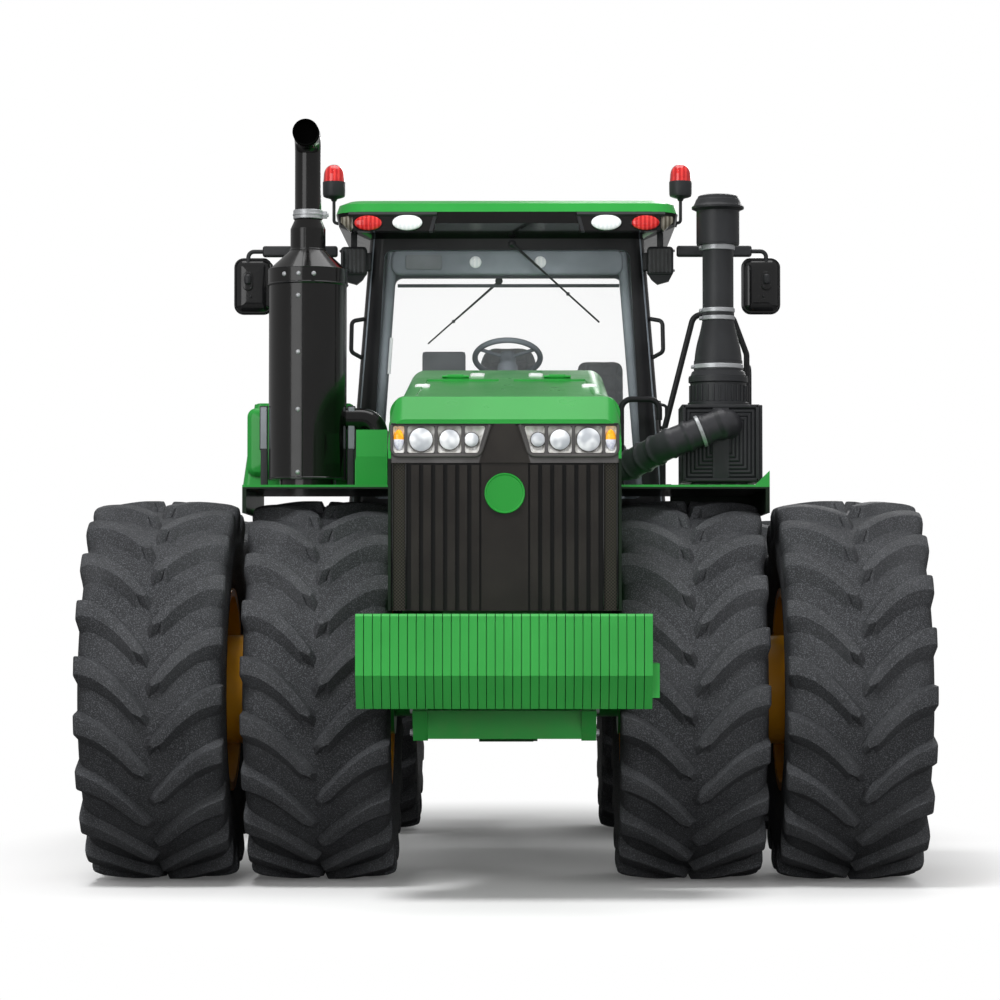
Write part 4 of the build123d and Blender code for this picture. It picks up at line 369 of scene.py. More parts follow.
def glass():
    """Thin pane: clear face on, mirror-like at a slant, with a trace of haze."""
    made = Finish("cab_glass", srgb(214, 222, 220), 0.03, Specular_IOR_Level=0.6)
    slant = made.node("ShaderNodeFresnel", {}, {"IOR": 1.45})
    made.set("Alpha", 0.008 * made.noise(2.0) + 0.5 * slant)


def cloth():
    """Woven seat cloth: two crossed sets of threads with a cloudy wear."""
    colour = srgb(142, 144, 148)
    made = Finish("seat_cloth", colour, 0.92, Sheen_Weight=0.3)
    x, y, z = made.axes()
    weave = (x * 2600.0).wave() * ((y + z) * 2600.0).wave()
    cloud = made.noise(9.0, 4.0)
    made.surface(made.mix(cloud.step(0.35, 0.75), colour, toned(colour, 1.25)), 0.85 + 0.12 * cloud,
                 weave * 0.5 + made.noise(300.0), 0.0008)


GREEN, GREEN_DEEP = srgb(44, 152, 62), srgb(38, 142, 56)
METALS = {  # colour, roughness, grains a metre, their depth
    "gloss_black": ((14, 13, 13), 0.16, 90.0, 0.0002, {"Coat_Weight": 0.4}),
    "dark_gloss": ((20, 20, 21), 0.16, 70.0, 0.0002, {"Coat_Weight": 0.6}),
    "soft_black": ((42, 43, 45), 0.36, 300.0, 0.0007, {}),
    "black_metal": ((34, 34, 36), 0.42, 240.0, 0.0006, {}),
    "hose_rubber": ((50, 50, 53), 0.36, 300.0, 0.001, {"Coat_Weight": 0.2}),
    "lamp_rim": ((84, 82, 81), 0.38, 420.0, 0.0006, {}),
    "pale_grey": ((142, 149, 157), 0.62, 420.0, 0.0008, {}),
    "light_grey": ((134, 138, 143), 0.5, 420.0, 0.0007, {}),
    # pale finish of the pads painted as reflections on the hood and cowl
    "glint_white": ((226, 232, 228), 0.4, 300.0, 0.0005, {}),
    "soot": ((8, 8, 8), 0.95, 120.0, 0.002, {"Specular_IOR_Level": 0.1}),
    "chrome": ((205, 207, 210), 0.14, 60.0, 0.0002, {"Metallic": 1.0}),
    "steel": ((204, 206, 209), 0.3, 500.0, 0.0003, {"Metallic": 0.6}),
}
LENSES = {  # colour, and that of its heart
    "bright_lens": ((236, 240, 242), (252, 253, 253)),
    "red_lens": ((178, 18, 22), (226, 58, 54)),
    "amber_lens": ((232, 128, 14), (252, 176, 40)),
    "dark_lens": ((26, 28, 28), (52, 55, 56)),
    "bronze_lens": ((122, 112, 96), (214, 206, 190)),
}
paint("green_paint", GREEN, GREEN_DEEP)
paint("green_castings", srgb(50, 158, 66), srgb(42, 144, 58), 0.42)
paint("green_plate", srgb(32, 138, 48), srgb(28, 128, 44), 0.22)
paint("gold_paint", srgb(206, 146, 28), srgb(188, 128, 18), 0.34)
# Painted shade: the hood's low front faces in black-green
paint_with_shade("hood_paint", lambda x, y, z: (y < NOSE_Y + HOOD_EDGE_DEPTH) * (z < HOOD_EDGE_TOP))
# Painted shade: the platforms' front below their tops in black-green
paint_with_shade("platform_paint", lambda x, y, z: (z < FASCIA_TOP) * (abs(x) < FASCIA_REACH))
rubber("tyre_rubber", srgb(52, 53, 55), srgb(62, 63, 65))
# The carcass is a shade darker than the lugs: painted shade in the voids between them
rubber("tyre_carcass", srgb(46, 47, 49), srgb(56, 57, 59))
for make_finish in (grille, lamp_housing, headlamp, cab_shell, signal, reflector, glass, cloth):
    make_finish()
for finish_name, (*row, sockets) in METALS.items():
    metal(finish_name, *row, **sockets)
for finish_name, row in LENSES.items():
    lens(finish_name, *row)

NODE_FINISHES = {
    "green_paint": """front_frame cowl side_boxes cab_roof rear_frame rear_fenders front_axle rear_axle
        gearbox engine fuel_tank""",
    "hood_paint": "hood",
    "platform_paint": "platforms",
    "green_castings": "front_weights",
    "gold_paint": "rims_front_left rims_front_right rims_rear_left rims_rear_right",
    "gloss_black": "roof_visor exhaust",
    "grille": "grille",
    "lamp_housing": "headlights",
    "cab_shell": "cab_frame cab_door",
    "black_metal": "cab_base drawbar drive_shaft handrails ladder steering_barrel_left steering_barrel_right",
    "soft_black": "air_cleaner mirrors cab_lamps",
    "pale_grey": "cab_console steering_column",
    "chrome": "steering_rod_left steering_rod_right",
    "cab_glass": "cab_glass door_glass",
    "seat_cloth": "seats",
    "tyre_rubber": "tyres_front_left tyres_front_right tyres_rear_left tyres_rear_right",
}
for finish_name, node_names in NODE_FINISHES.items():
    for node_name in node_names.split():
        for material_slot in NODES[node_name].material_slots:
            material_slot.material = FINISHES[finish_name]


# ---------------------------------------------------------------- surfaces
def smooth_line(points, count):
    """Catmull-Rom curve through the points, at count even steps of its parameter."""
    p = np.asarray(points, float)
    p = np.vstack([2 * p[0] - p[1], p, 2 * p[-1] - p[-2]])
    t = np.linspace(0, len(p) - 3, count)
    i = np.minimum(t.astype(int), len(p) - 4)
    f = (t - i)[:, None]
    a, b, c, d = p[i], p[i + 1], p[i + 2], p[i + 3]
    return 0.5 * (2 * b + (c - a) * f + (2 * a - 5 * b + 4 * c - d) * f ** 2
                  + (3 * b - a - 3 * c + d) * f ** 3)


class Piece:
    """Surfaces gathered into one mesh. Each is a grid of points, in rows and columns."""

    def __init__(self):
        self.points, self.faces, self.total = [], [], 0

    def add(self, grid, around=False, along=False):
        """Join neighbours on a grid, or on a stack of grids; around closes the columns, along the rows."""
        grid = np.asarray(grid, float)
        grid = grid[None] if grid.ndim == 3 else grid
        copies, rows, columns = grid.shape[:3]
        r = np.arange(rows if along else rows - 1)[:, None]
        c = np.arange(columns if around else columns - 1)[None]
        below, beside = (r + 1) % rows, (c + 1) % columns
        quads = np.stack([r * columns + c, r * columns + beside, below * columns + beside,
                          below * columns + c], -1).reshape(-1, 4)
        shift = self.total + np.arange(copies)[:, None, None] * rows * columns
        self.faces.append((quads[None] + shift).reshape(-1, 4))
        self.points.append(grid.reshape(-1, 3))
        self.total += copies * rows * columns
        return self

    def build(self, name, finish, body="chassis_front", replaces=(), slot=None, sharp=32.0):
        """One welded mesh with its faces outwards, that rides on a body."""
        mesh = bpy.data.meshes.new(name)
        mesh.from_pydata(np.concatenate(self.points).tolist(), [], np.concatenate(self.faces).tolist())
        work = bmesh.new()
        work.from_mesh(mesh)
        bmesh.ops.remove_doubles(work, verts=work.verts, dist=1e-5)
        bmesh.ops.dissolve_degenerate(work, edges=work.edges, dist=1e-6)
        bmesh.ops.recalc_face_normals(work, faces=work.faces)
        work.to_mesh(mesh)
        work.free()
        mesh.polygons.foreach_set("use_smooth", np.ones(len(mesh.polygons), bool))
        mesh.set_sharp_from_angle(angle=radians(sharp))
        mesh.materials.append(FINISHES[finish])
        made = bpy.data.objects.new(name, mesh)
        bpy.context.scene.collection.objects.link(made)
        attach(made, body)
        if replaces:
            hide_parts(*replaces)
        return made


def pieces(count):
    """So many empty pieces."""
    return [Piece() for _ in range(count)]


# ---------------------------------------------------------------- forms that many pieces share
def unit(vector):
    """Vector, or each row of vectors, made one long."""
    vector = np.asarray(vector, float)
    return vector / np.linalg.norm(vector, axis=-1, keepdims=True)


def turned(piece, centre, axis, profile, sides=32):
    """Profile of (place along the axis, radius), carried round an axis at one centre or at several."""
    axis = unit(axis)
    u = unit(np.cross(axis, X if abs(axis[0]) < 0.9 else Z))
    v = np.cross(axis, u)
    profile = np.asarray(profile, float)
    turn = (np.arange(sides) + 0.5) * tau / sides
    spoke = np.cos(turn)[:, None] * u + np.sin(turn)[:, None] * v
    form = profile[:, 0, None, None] * axis + profile[:, 1, None, None] * spoke
    return piece.add(np.atleast_2d(centre)[:, None, None] + form, around=True)


def bent(points, bend, step=0.012):
    """Line that turns each corner on an arc of one radius, as points an even step apart."""
    p = np.asarray(points, float)
    runs = [p[:1]]
    t = np.linspace(0, 1, 16)[:, None]
    for before, corner, after in zip(p, p[1:], p[2:]):
        back, on = unit(before - corner), unit(after - corner)
        half = np.arccos(np.clip(back @ on, -1, 1)) / 2
        cut = bend / np.tan(half)
        low, middle, high = (1 - t) ** 2, 2 * np.sin(half) * t * (1 - t), t ** 2
        runs.append((low * (corner + back * cut) + middle * corner + high * (corner + on * cut))
                    / (low + middle + high))
    line = np.concatenate(runs + [p[-1:]])
    reach = np.concatenate([[0], np.cumsum(np.linalg.norm(np.diff(line, axis=0), axis=1))])
    even = np.linspace(0, reach[-1], int(reach[-1] / step) + 2)
    return np.stack([np.interp(even, reach, axis) for axis in line.T], -1)


def tube(piece, path, radius, sides=14):
    """Round tube along a path, shut at its ends; the radius is one number or one for each point."""
    path = np.asarray(path, float)
    along = unit(np.gradient(path, axis=0))
    flat = np.linalg.svd(along)[2][-1]
    u = unit(np.cross(along, flat))[:, None]
    v = np.cross(along[:, None], u)
    turn = (np.arange(sides) * tau / sides)[:, None]
    radius = np.broadcast_to(radius, len(path))[:, None, None]
    rings = path[:, None] + radius * (np.cos(turn) * u + np.sin(turn) * v)
    ends = [np.repeat(path[k][None, None], sides, 1) for k in (0, -1)]
    return piece.add(np.concatenate([ends[0], rings, ends[1]]), around=True)


def rounded(half_w, half_h, corner, count=7):
    """Outline of a rectangle with round corners, centred on the origin."""
    turn = np.linspace(0, pi / 2, count)[None] + np.arange(4)[:, None] * pi / 2
    sign_w, sign_h = np.array([[1], [-1], [-1], [1]]), np.array([[1], [1], [-1], [-1]])
    return np.stack([sign_w * (half_w - corner) + corner * np.cos(turn),
                     sign_h * (half_h - corner) + corner * np.sin(turn)], -1).reshape(-1, 2)


def layered(piece, centre, right, up, size, corner, levels):
    """Rounded plate. Its outline shrinks by each level's inset as it goes out along right x up."""
    right, up = unit(right), unit(up)
    out = np.cross(right, up)
    rows = []
    for height, inset in levels:
        flat = rounded(size[0] / 2 - inset, size[1] / 2 - inset, max(corner - inset, 0.0005))
        rows.append(np.asarray(centre) + flat[:, :1] * right + flat[:, 1:] * up + height * out)
    ends = [np.repeat(row.mean(0, keepdims=True), len(row), 0) for row in (rows[0], rows[-1])]
    return piece.add(np.stack([ends[0], *rows, ends[1]]), around=True)


def slab(piece, centre, right, up, size, corner, depth, edge):
    """Rounded plate of a depth. Quarter rounds ease its two faces' borders."""
    turn = np.linspace(0, pi / 2, 5)
    rise = np.stack([edge - edge * np.cos(turn), edge - edge * np.sin(turn)], -1)
    levels = np.concatenate([rise, (depth, 0) + rise[::-1] * (-1, 1)])
    return layered(piece, centre, right, up, size, corner, levels)


def box(piece, low, high, edge=0.004):
    """Box with eased edges, between two corners."""
    low, high = np.minimum(low, high), np.maximum(low, high)
    size = high - low
    return slab(piece, (*(low + high)[:2] / 2, low[2]), X, Y, size[:2], edge, size[2], edge)


def prism(piece, outline, reach):
    """Convex outline carried straight along a vector, shut at both ends."""
    outline, reach = np.asarray(outline, float), np.asarray(reach, float)
    end = np.repeat(outline.mean(0, keepdims=True), len(outline), 0)
    return piece.add([end, outline, outline + reach, end + reach], around=True)


def hoop(low, high, radius, edge=0.003):
    """Profile of a hoop about an upright axis, with its two edges eased."""
    return [(low, 0), (low, radius - edge), (low + edge, radius), (high - edge, radius),
            (high, radius - edge), (high, 0)]


BOLT = np.array([(0, 0), (0, 1.3), (0.25, 1.3), (0.25, 1.0), (0.8, 1.0), (0.95, 0.85), (0.95, 0)])


def bolts(piece, places, out, radius):
    """Hexagonal heads on washers, each looking out along one direction."""
    turned(piece, places, out, BOLT * radius, sides=6)


def side_bolts(piece, places, radius):
    """Bolts that look outwards on both sides; the places are those of the left side."""
    bolts(piece, places, X, radius)
    bolts(piece, places * (-1, 1, 1), -X, radius)


def studs(piece, places, out, radius):
    """Round-headed screws: low domes."""
    turn = np.linspace(0, pi / 2, 6)
    dome = np.stack([0.6 * np.sin(turn), np.cos(turn)], -1) * radius
    turned(piece, places, out, np.vstack([[0, 0], dome]), sides=14)


def circle(centre, radius, count, u, v, start=0.0):
    """Places spaced evenly round a circle, which lies in the plane of u and v."""
    turn = start + np.arange(count)[:, None] * tau / count
    return np.asarray(centre) + radius * (np.cos(turn) * u + np.sin(turn) * v)


def lattice(xs, ys, zs):
    """Every place of three lists of coordinates, with x changing slowest."""
    return np.stack(np.meshgrid(xs, ys, zs, indexing="ij"), -1).reshape(-1, 3)


def oval_lens(piece, centre, half_w, half_h, rise):
    """Domed oval lens: its rings shrink as cos a while they rise as sin a, above a short skirt."""
    turn = (np.arange(40) * tau / 40)[:, None]
    a = np.linspace(0, pi / 2, 8)
    flat = half_w * np.cos(turn) * X + half_h * np.sin(turn) * Z
    sizes, heights = [0, 1, 1, *np.cos(a)], [0, 0, 0.004, *(0.005 + rise * np.sin(a))]
    piece.add([np.asarray(centre) + s * flat - h * Y for s, h in zip(sizes, heights)], around=True)


# ---------------------------------------------------------------- tyres
LUGS = 20                    # on each half of a tyre
LUG_SWEEP = 17.5             # degrees that a lug leads from the centre line to the shoulder
LUG_REACH, LUG_CURVE = 0.385, 1.8
CARCASS = [(0.0, 0.990), (0.15, 0.988), (0.27, 0.977), (0.335, 0.955), (0.372, 0.915), (0.386, 0.850)]
LUG_TIP = [(0.0, 1.045), (0.15, 1.043), (0.28, 1.033), (0.362, 1.018), (0.393, 0.985), (0.388, 0.852)]
SIDEWALL = [(0.386, 0.850), (0.392, 0.790), (0.386, 0.700), (0.366, 0.620), (0.350, 0.580),
            (0.342, 0.566), (0.334, 0.545), (0.325, 0.5305)]


def ring(x, radius, angle, axle_y):
    """Points of a wheel. The angle is 0 at the front and grows upwards, in degrees."""
    turn = np.radians(angle)
    x, radius, turn = np.broadcast_arrays(x, radius, turn)
    return np.stack([x, axle_y - radius * np.cos(turn), AXLE_Z + radius * np.sin(turn)], -1)


def tyre_carcass(piece, centre_x, axle_y):
    """Profile carried round the axle: crown, shoulders, side walls with rings, and bore."""
    crown = smooth_line(CARCASS, 18)
    wall = smooth_line(SIDEWALL, 22)[1:]
    wall[:, 0] += 0.0022 * (np.sin(np.linspace(0, 9 * pi, len(wall))) > 0.6)
    half = np.vstack([crown, wall])
    outline = np.vstack([half[::-1] * (-1, 1), half[1:]])
    angles = np.arange(160) * 360 / 160
    piece.add(ring(centre_x + outline[:, 0][:, None], outline[:, 1][:, None], angles[None], axle_y),
              around=True, along=True)


def tyre_lugs(piece, centre_x, axle_y):
    """Lugs: a flanked section carried from a blunt nose near the centre line up round the shoulder.

    Along a lug the share s runs from its nose to the side wall. Its tip and its foot follow two
    outlines, and its lead grows as 1 - (1 - out) ** LUG_CURVE on its way out. Across it, the flank that
    looks down is broad and the other is steep; the nose starts further out along its lower edge, so
    it ends in a level cut and an upright one.
    """
    side_share = np.array([-1.0, -1.0, -0.96, -0.80, 0.0, 0.86, 0.97, 1.0, 1.0])
    spread = np.array([-4.1, -0.32, -0.08, 0, 0, 0, 0.06, 0.2, 1.15])
    rise_across = np.array([-0.12, 0.92, 0.985, 1.0, 1.0, 1.0, 0.985, 0.90, -0.12])
    s = np.concatenate([[0, 0, 0, 0], np.linspace(0.015, 0.10, 4), np.linspace(0.15, 1.0, 14)])
    nose = np.zeros(len(s))
    nose[:3] = [1.0, 0.22, 0.06]
    lift = np.ones(len(s))
    lift[:3] = [-0.12, 0.80, 0.95]
    lift[-2:] = [0.90, 0.1]
    start = np.interp(side_share, [-1, -0.05, 0.3, 1], [0.078, 0.032, 0.020, 0.018])
    start = np.broadcast_to(start, (len(s), len(start)))
    fine = np.linspace(0, 1, 80)
    foot_line, tip_line = smooth_line(CARCASS, 80), smooth_line(LUG_TIP, 80)
    begin = np.interp(start, foot_line[:, 0], fine)
    place = begin + (1 - begin) * s[:, None]
    foot, tip = (np.stack([np.interp(place, fine, row) for row in line.T], -1)
                 for line in (foot_line, tip_line))
    rise = np.minimum(lift[:, None], rise_across[None])
    section = foot + (tip - foot) * rise[..., None]
    section[..., 0] -= 0.030 * nose[:, None]
    out = np.clip(section[..., 0] / LUG_REACH, 0, 1)
    lead = LUG_SWEEP * (1 - (1 - out) ** LUG_CURVE)
    half_width = np.interp(place, [0.0, 0.3, 0.9, 1.0], [2.15, 2.35, 2.9, 3.0])
    flank = np.interp(place, [0, 0.75, 1.0], [1.0, 1.0, 0.45])
    turn = lead + half_width * side_share + spread * flank
    turn -= nose[:, None] * np.interp(side_share, [-1, -0.8, 0, 1], [0.0, 1.2, 1.6, 0.6])
    for side, shift in ((1, 0.0), (-1, 180 / LUGS)):
        begin = shift + np.arange(LUGS) * 360 / LUGS
        piece.add(ring(centre_x + side * section[None, ..., 0], section[None, ..., 1],
                       begin[:, None, None] + turn[None], axle_y))


def make_tyres():
    """Both tyres of each wheel: one piece of their carcasses, and one of their lugs."""
    for corner, side, axle_y in WHEELS:
        carcass, lugs = pieces(2)
        for centre in (INNER_X, OUTER_X):
            tyre_carcass(carcass, side * centre, axle_y)
            tyre_lugs(lugs, side * centre, axle_y)
        body, replaced = f"wheels_{corner}", [f"tyres_{corner}"]
        carcass.build(f"tyre_carcass_{corner}", "tyre_carcass", body, replaced, sharp=38)
        lugs.build(f"tyre_lugs_{corner}", "tyre_rubber", body, sharp=22)


# ---------------------------------------------------------------- nose: headlights, emblem plate, vents
LAMP_FACE_Y, LAMP_FLOOR_Y = NOSE_Y + 0.008, NOSE_Y + 0.034
LAMP_TOP, LAMP_BOTTOM = 2.430, 2.290
# x of a cell's inner border at its foot and its head, and of its outer border; radius of the lamp
LAMP_CELLS = [(0.136, 0.098, 0.206, 0.036), (0.222, 0.222, 0.346, 0.052), (0.360, 0.360, 0.502, 0.060)]
SIGNAL_CELL = (0.516, 0.516, 0.575, 0.024)
BULB_HALF_W, BULB_HALF_H = 0.0265, 0.052
LAMP_FRAME = [(0.0755, 2.4360), (0.128, 2.2760), (0.583, 2.2760), (0.583, 2.4360)]      # x and z
EMBLEM_Z = 2.083
EMBLEM = [(0, 0), (0, 0.1046), (0.0175, 0.1046), (0.0212, 0.1030), (0.0222, 0.0990), (0.0214, 0.0950),
          (0.0192, 0.0925), (0.0193, 0.0800), (0.0198, 0.0400), (0.0202, 0)]
HOOD_SLOPE, HOOD_LIP_Y, HOOD_LIP_Z = 0.146, -2.901, 2.590
# Pale louvred pads on the hood and cowl, where white glints of light show: painted reflections
GLINT_PADS = [("hood_glint_pads", "hood_lid", 0.452, -2.150, 0.008),           # x, y, and how deep it is sunk
         ("cowl_glint_pads", "chassis_front", 0.165, -1.400, 0.002)]
SCREEN_EDGES, SCREEN_FOOT, SCREEN_HEAD = (0.508, 0.578), 1.486, 2.236


def lamp_place(cell, side=1):
    """Middle of a lamp's cell, on the floor behind its glass."""
    return np.array([side * (cell[0] + cell[2]) / 2, LAMP_FLOOR_Y, (LAMP_TOP + LAMP_BOTTOM) / 2])


def cell_reach(cell, turn):
    """Distance from a cell's centre to its border in each direction, with its corners eased."""
    low_inner, high_inner, outer, _ = cell
    centre_x, _, centre_z = lamp_place(cell)
    slant = unit([-(LAMP_TOP - LAMP_BOTTOM), high_inner - low_inner])
    walls = [((1, 0), outer - centre_x), ((0, 1), LAMP_TOP - centre_z), ((0, -1), centre_z - LAMP_BOTTOM),
             (slant, slant @ (low_inner - centre_x, LAMP_BOTTOM - centre_z))]
    way = np.stack([np.cos(turn), np.sin(turn)], -1)
    facing = np.stack([np.maximum(way @ np.asarray(normal), 1e-3) / gap for normal, gap in walls])
    return (facing ** 14).sum(0) ** (-1 / 14)


def make_headlights():
    """Bright trays in the lamp cells, the domes of the lamps, the two-colour side bulbs, and the rims.

    A tray's rows go from the cell's border down to a circle; facets ripple round it. A dome's height
    is 1 - share ** 2.6 of its rise, on a short upright skirt, and a bulb's 1 - share ** 2.2.
    """
    trays, domes, signals, rims = pieces(4)
    turn = np.arange(72) * tau / 72
    down = np.array([0, 0.02, 0.25, 0.5, 0.75, 1.0])[:, None]
    depth = 0.0235 * np.sin(down * pi / 2) ** 0.8 + 0.0018 * np.sin(turn * 18) * down * (1 - down) * 4
    bulb = np.stack([BULB_HALF_W * np.cos(turn), 0 * turn, BULB_HALF_H * np.sin(turn)], -1)
    share = np.linspace(1, 0, 8)
    bulb_rows = zip([0, 1, 1, *share], [0, 0, 0.0205, *(0.021 + 0.012 * (1 - share ** 2.2))])
    bulb = np.array([size * bulb - rise * Y for size, rise in bulb_rows])
    for side in SIDES:
        for cell in LAMP_CELLS + [SIGNAL_CELL]:
            centre_x, _, centre_z = lamp_place(cell)
            reach = cell_reach(cell, turn) - 0.0015
            across = reach + (cell[3] * 0.96 - reach) * down
            trays.add(np.stack([side * (centre_x + across * np.cos(turn)), LAMP_FACE_Y + 0.0005 + depth,
                                centre_z + across * np.sin(turn)], -1), around=True)
        frame_line = bent([(side * x, LAMP_FACE_Y - 0.004, z) for x, z in LAMP_FRAME], 0.040, 0.006)
        tube(rims, frame_line, 0.0085, 10)
        for cell in LAMP_CELLS:
            place, radius = lamp_place(cell, side), cell[3]
            share = np.linspace(1, 0, 9)
            dome = np.stack([0.0215 + 0.010 * (1 - share ** 2.6), (radius + 0.0005) * share], -1)
            turned(domes, place, -Y, [(0, 0), (0, radius + 0.0015), (0.0205, radius + 0.0015), *dome], 48)
            turned(rims, place, -Y, [(0.004, radius), (0.004, radius + 0.0035), (0.019, radius + 0.0040),
                                     (0.023, radius + 0.0015), (0.0215, radius - 0.0005)], 48)
        signals.add(lamp_place(SIGNAL_CELL, side) + bulb, around=True)
    trays.build("headlight_trays", "reflector", "hood_lid", sharp=25)
    domes.build("headlight_domes", "headlamp", "hood_lid", sharp=50)
    signals.build("signal_bulbs", "signal_bulbs", "hood_lid", sharp=60)
    rims.build("headlight_rims", "lamp_rim", "hood_lid")


def make_nose():
    """Bare round plate, small pale louvred pads on hood and cowl painted as reflections of light, seam under
    the lip, and screens' edges.
    """
    turned(Piece(), (0, NOSE_Y + 0.0102, EMBLEM_Z), -Y, EMBLEM, 72).build(
        "nose_plate", "green_plate", "hood_lid", sharp=40)
    slope = unit((0, 1, HOOD_SLOPE))
    for name, body, x, y, sink in GLINT_PADS:
        glint_pads = Piece()
        for side in SIDES:
            centre = np.array([side * x, y, HOOD_LIP_Z + HOOD_SLOPE * (y - HOOD_LIP_Y) - sink])
            slab(glint_pads, centre, X, slope, (0.080, 0.150), 0.010, 0.011, 0.003)
            for k in range(4):
                place = centre + slope * ((k - 1.5) * 0.032) + Z * 0.010
                slab(glint_pads, place, X, slope, (0.060, 0.012), 0.004, 0.004, 0.0015)
        glint_pads.build(name, "glint_white", body)
    seam = bent([(x, NOSE_Y + 0.004, 2.4405) for x in (-0.585, 0.585)], 0.01, 0.05)
    tube(Piece(), seam, 0.0045, 8).build("hood_seal", "soft_black", "hood_lid")
    frames = Piece()
    for side in SIDES:
        for x in SCREEN_EDGES:
            box(frames, (side * (x - 0.004), NOSE_Y + 0.006, SCREEN_FOOT),
                (side * (x + 0.004), NOSE_Y + 0.0235, SCREEN_HEAD))
    frames.build("grille_screens", "dark_gloss", "hood_lid")


# ---------------------------------------------------------------- exhaust
STACK_AXIS = np.array([-1.120, FRONT_AXLE_Y + 0.206, 0.0])
CLAMP_Z = 3.711
MUFFLER_HOOPS = [(3.306, 3.322, 0.2285, 0.006), (3.394, 3.402, 0.2265, 0.003), (3.504, 3.516, 0.1035, 0.003),
                 (2.214, 2.226, 0.2225, 0.004)]
SEAM_X = -0.015
SEAMS = [(2.226, 3.306, 0.219, 0.219), (3.402, 3.504, 0.2178, 0.1035), (3.516, 3.628, 0.099, 0.099)]
SCREWS = [(0.2255, -0.120, 3.358), (0.2255, -0.038, 3.358), (0.2255, 0.048, 3.358),      # radius, x, z
          *((0.2190, -0.040, z) for z in (3.236, 2.920, 2.600, 2.250))]
MOUTH_Z = 4.150
MOUTH = [(0.0006, 0.0735), (0.001, 0.0690), (0.03, 0.0688), (0.11, 0.0685), (0.112, 0)]


def make_exhaust():
    """Clamp, beads, seams, screws and dark mouth of the muffler and its stack."""
    clamp, trim, screws = pieces(3)
    turned(clamp, STACK_AXIS, Z, hoop(3.686, 3.737, 0.0835), 48)
    turned(clamp, STACK_AXIS, Z, hoop(3.705, 3.718, 0.0862), 48)
    box(clamp, STACK_AXIS + (0.080, -0.016, 3.692), STACK_AXIS + (0.108, 0.016, 3.731))
    bolts(clamp, STACK_AXIS + (0.106, 0, CLAMP_Z), X, 0.011)
    studs(clamp, STACK_AXIS + (0.094, -0.016, CLAMP_Z), -Y, 0.011)
    clamp.build("stack_clamp", "steel")
    for low, high, radius, edge in MUFFLER_HOOPS:
        turned(trim, STACK_AXIS, Z, hoop(low, high, radius, edge), 48 if radius < 0.2 else 72)
    for low, high, *radii in SEAMS:
        low_y, high_y = (-(r * r - SEAM_X * SEAM_X) ** 0.5 for r in radii)
        path = np.linspace(STACK_AXIS + (SEAM_X, low_y, low), STACK_AXIS + (SEAM_X, high_y, high), 12)
        tube(trim, path, 0.0032, 8)
        tube(trim, path * (1, -1, 1) + (0, 2 * STACK_AXIS[1], 0), 0.0032, 8)
    trim.build("muffler_trim", "dark_gloss", sharp=30)
    for radius, x, z in SCREWS:
        depth = (radius * radius - x * x) ** 0.5
        for y in (-depth, depth):
            studs(screws, STACK_AXIS + (x, y, z), (x, y, 0), 0.0135)
    screws.build("muffler_screws", "steel")
    mouth_y = span("exhaust")[0][1]
    turned(Piece(), (STACK_AXIS[0], mouth_y, MOUTH_Z), Y, MOUTH, 48).build("stack_mouth", "soot")


# ---------------------------------------------------------------- air cleaner
CLEANER_AXIS = np.array([1.195, FRONT_AXLE_Y + 0.260, 0.0])
CLEANER_BOX_HALF, CLEANER_BOX_Z = 0.215, 2.413
CLEANER_CLAMPS = [(2.842, 2.868, 0.1405), (3.118, 3.142, 0.0945), (3.162, 3.186, 0.0945),
                  (3.514, 3.545, 0.0950)]
CLEANER_SHELL = [
    (2.629, 0), (2.629, 0.172), (2.650, 0.172), (2.656, 0.158), (2.760, 0.158), (2.766, 0.168),
    (2.792, 0.168), (2.797, 0.160), (2.826, 0.148), (2.832, 0.1375), (2.878, 0.1375), (2.886, 0.1345),
    (2.920, 0.1315), (2.960, 0.1255), (3.000, 0.1165), (3.040, 0.1055), (3.080, 0.0960), (3.112, 0.0905),
    (3.120, 0.0875), (3.520, 0.0875), (3.546, 0.0930), (3.552, 0.1215), (3.735, 0.1215), (3.742, 0.1300),
    (3.749, 0.1470), (3.758, 0.1480), (3.764, 0.1400), (3.776, 0.1330), (3.800, 0.1235), (3.806, 0.1160),
    (3.820, 0.1120), (3.8265, 0.0980), (3.8265, 0)]
SHELL_RIBS, BOX_RIDGES = 28, 9
HOSE_Y = CLEANER_AXIS[1] - CLEANER_BOX_HALF - 0.060
HOSE_LINE = [(0.5603, HOSE_Y + 0.200, 2.290), (0.680, HOSE_Y + 0.200, 2.290), (0.890, HOSE_Y, 2.400),
             (1.220, HOSE_Y, 2.530), (1.250, HOSE_Y + 0.140, 2.500)]
HOSE_R, HOSE_HOOPS = 0.0820, 9
HOSE_CLAMP = [(-0.010, 0), (-0.010, 0.0905), (-0.008, 0.0920), (0.008, 0.0920), (0.010, 0.0905), (0.010, 0)]


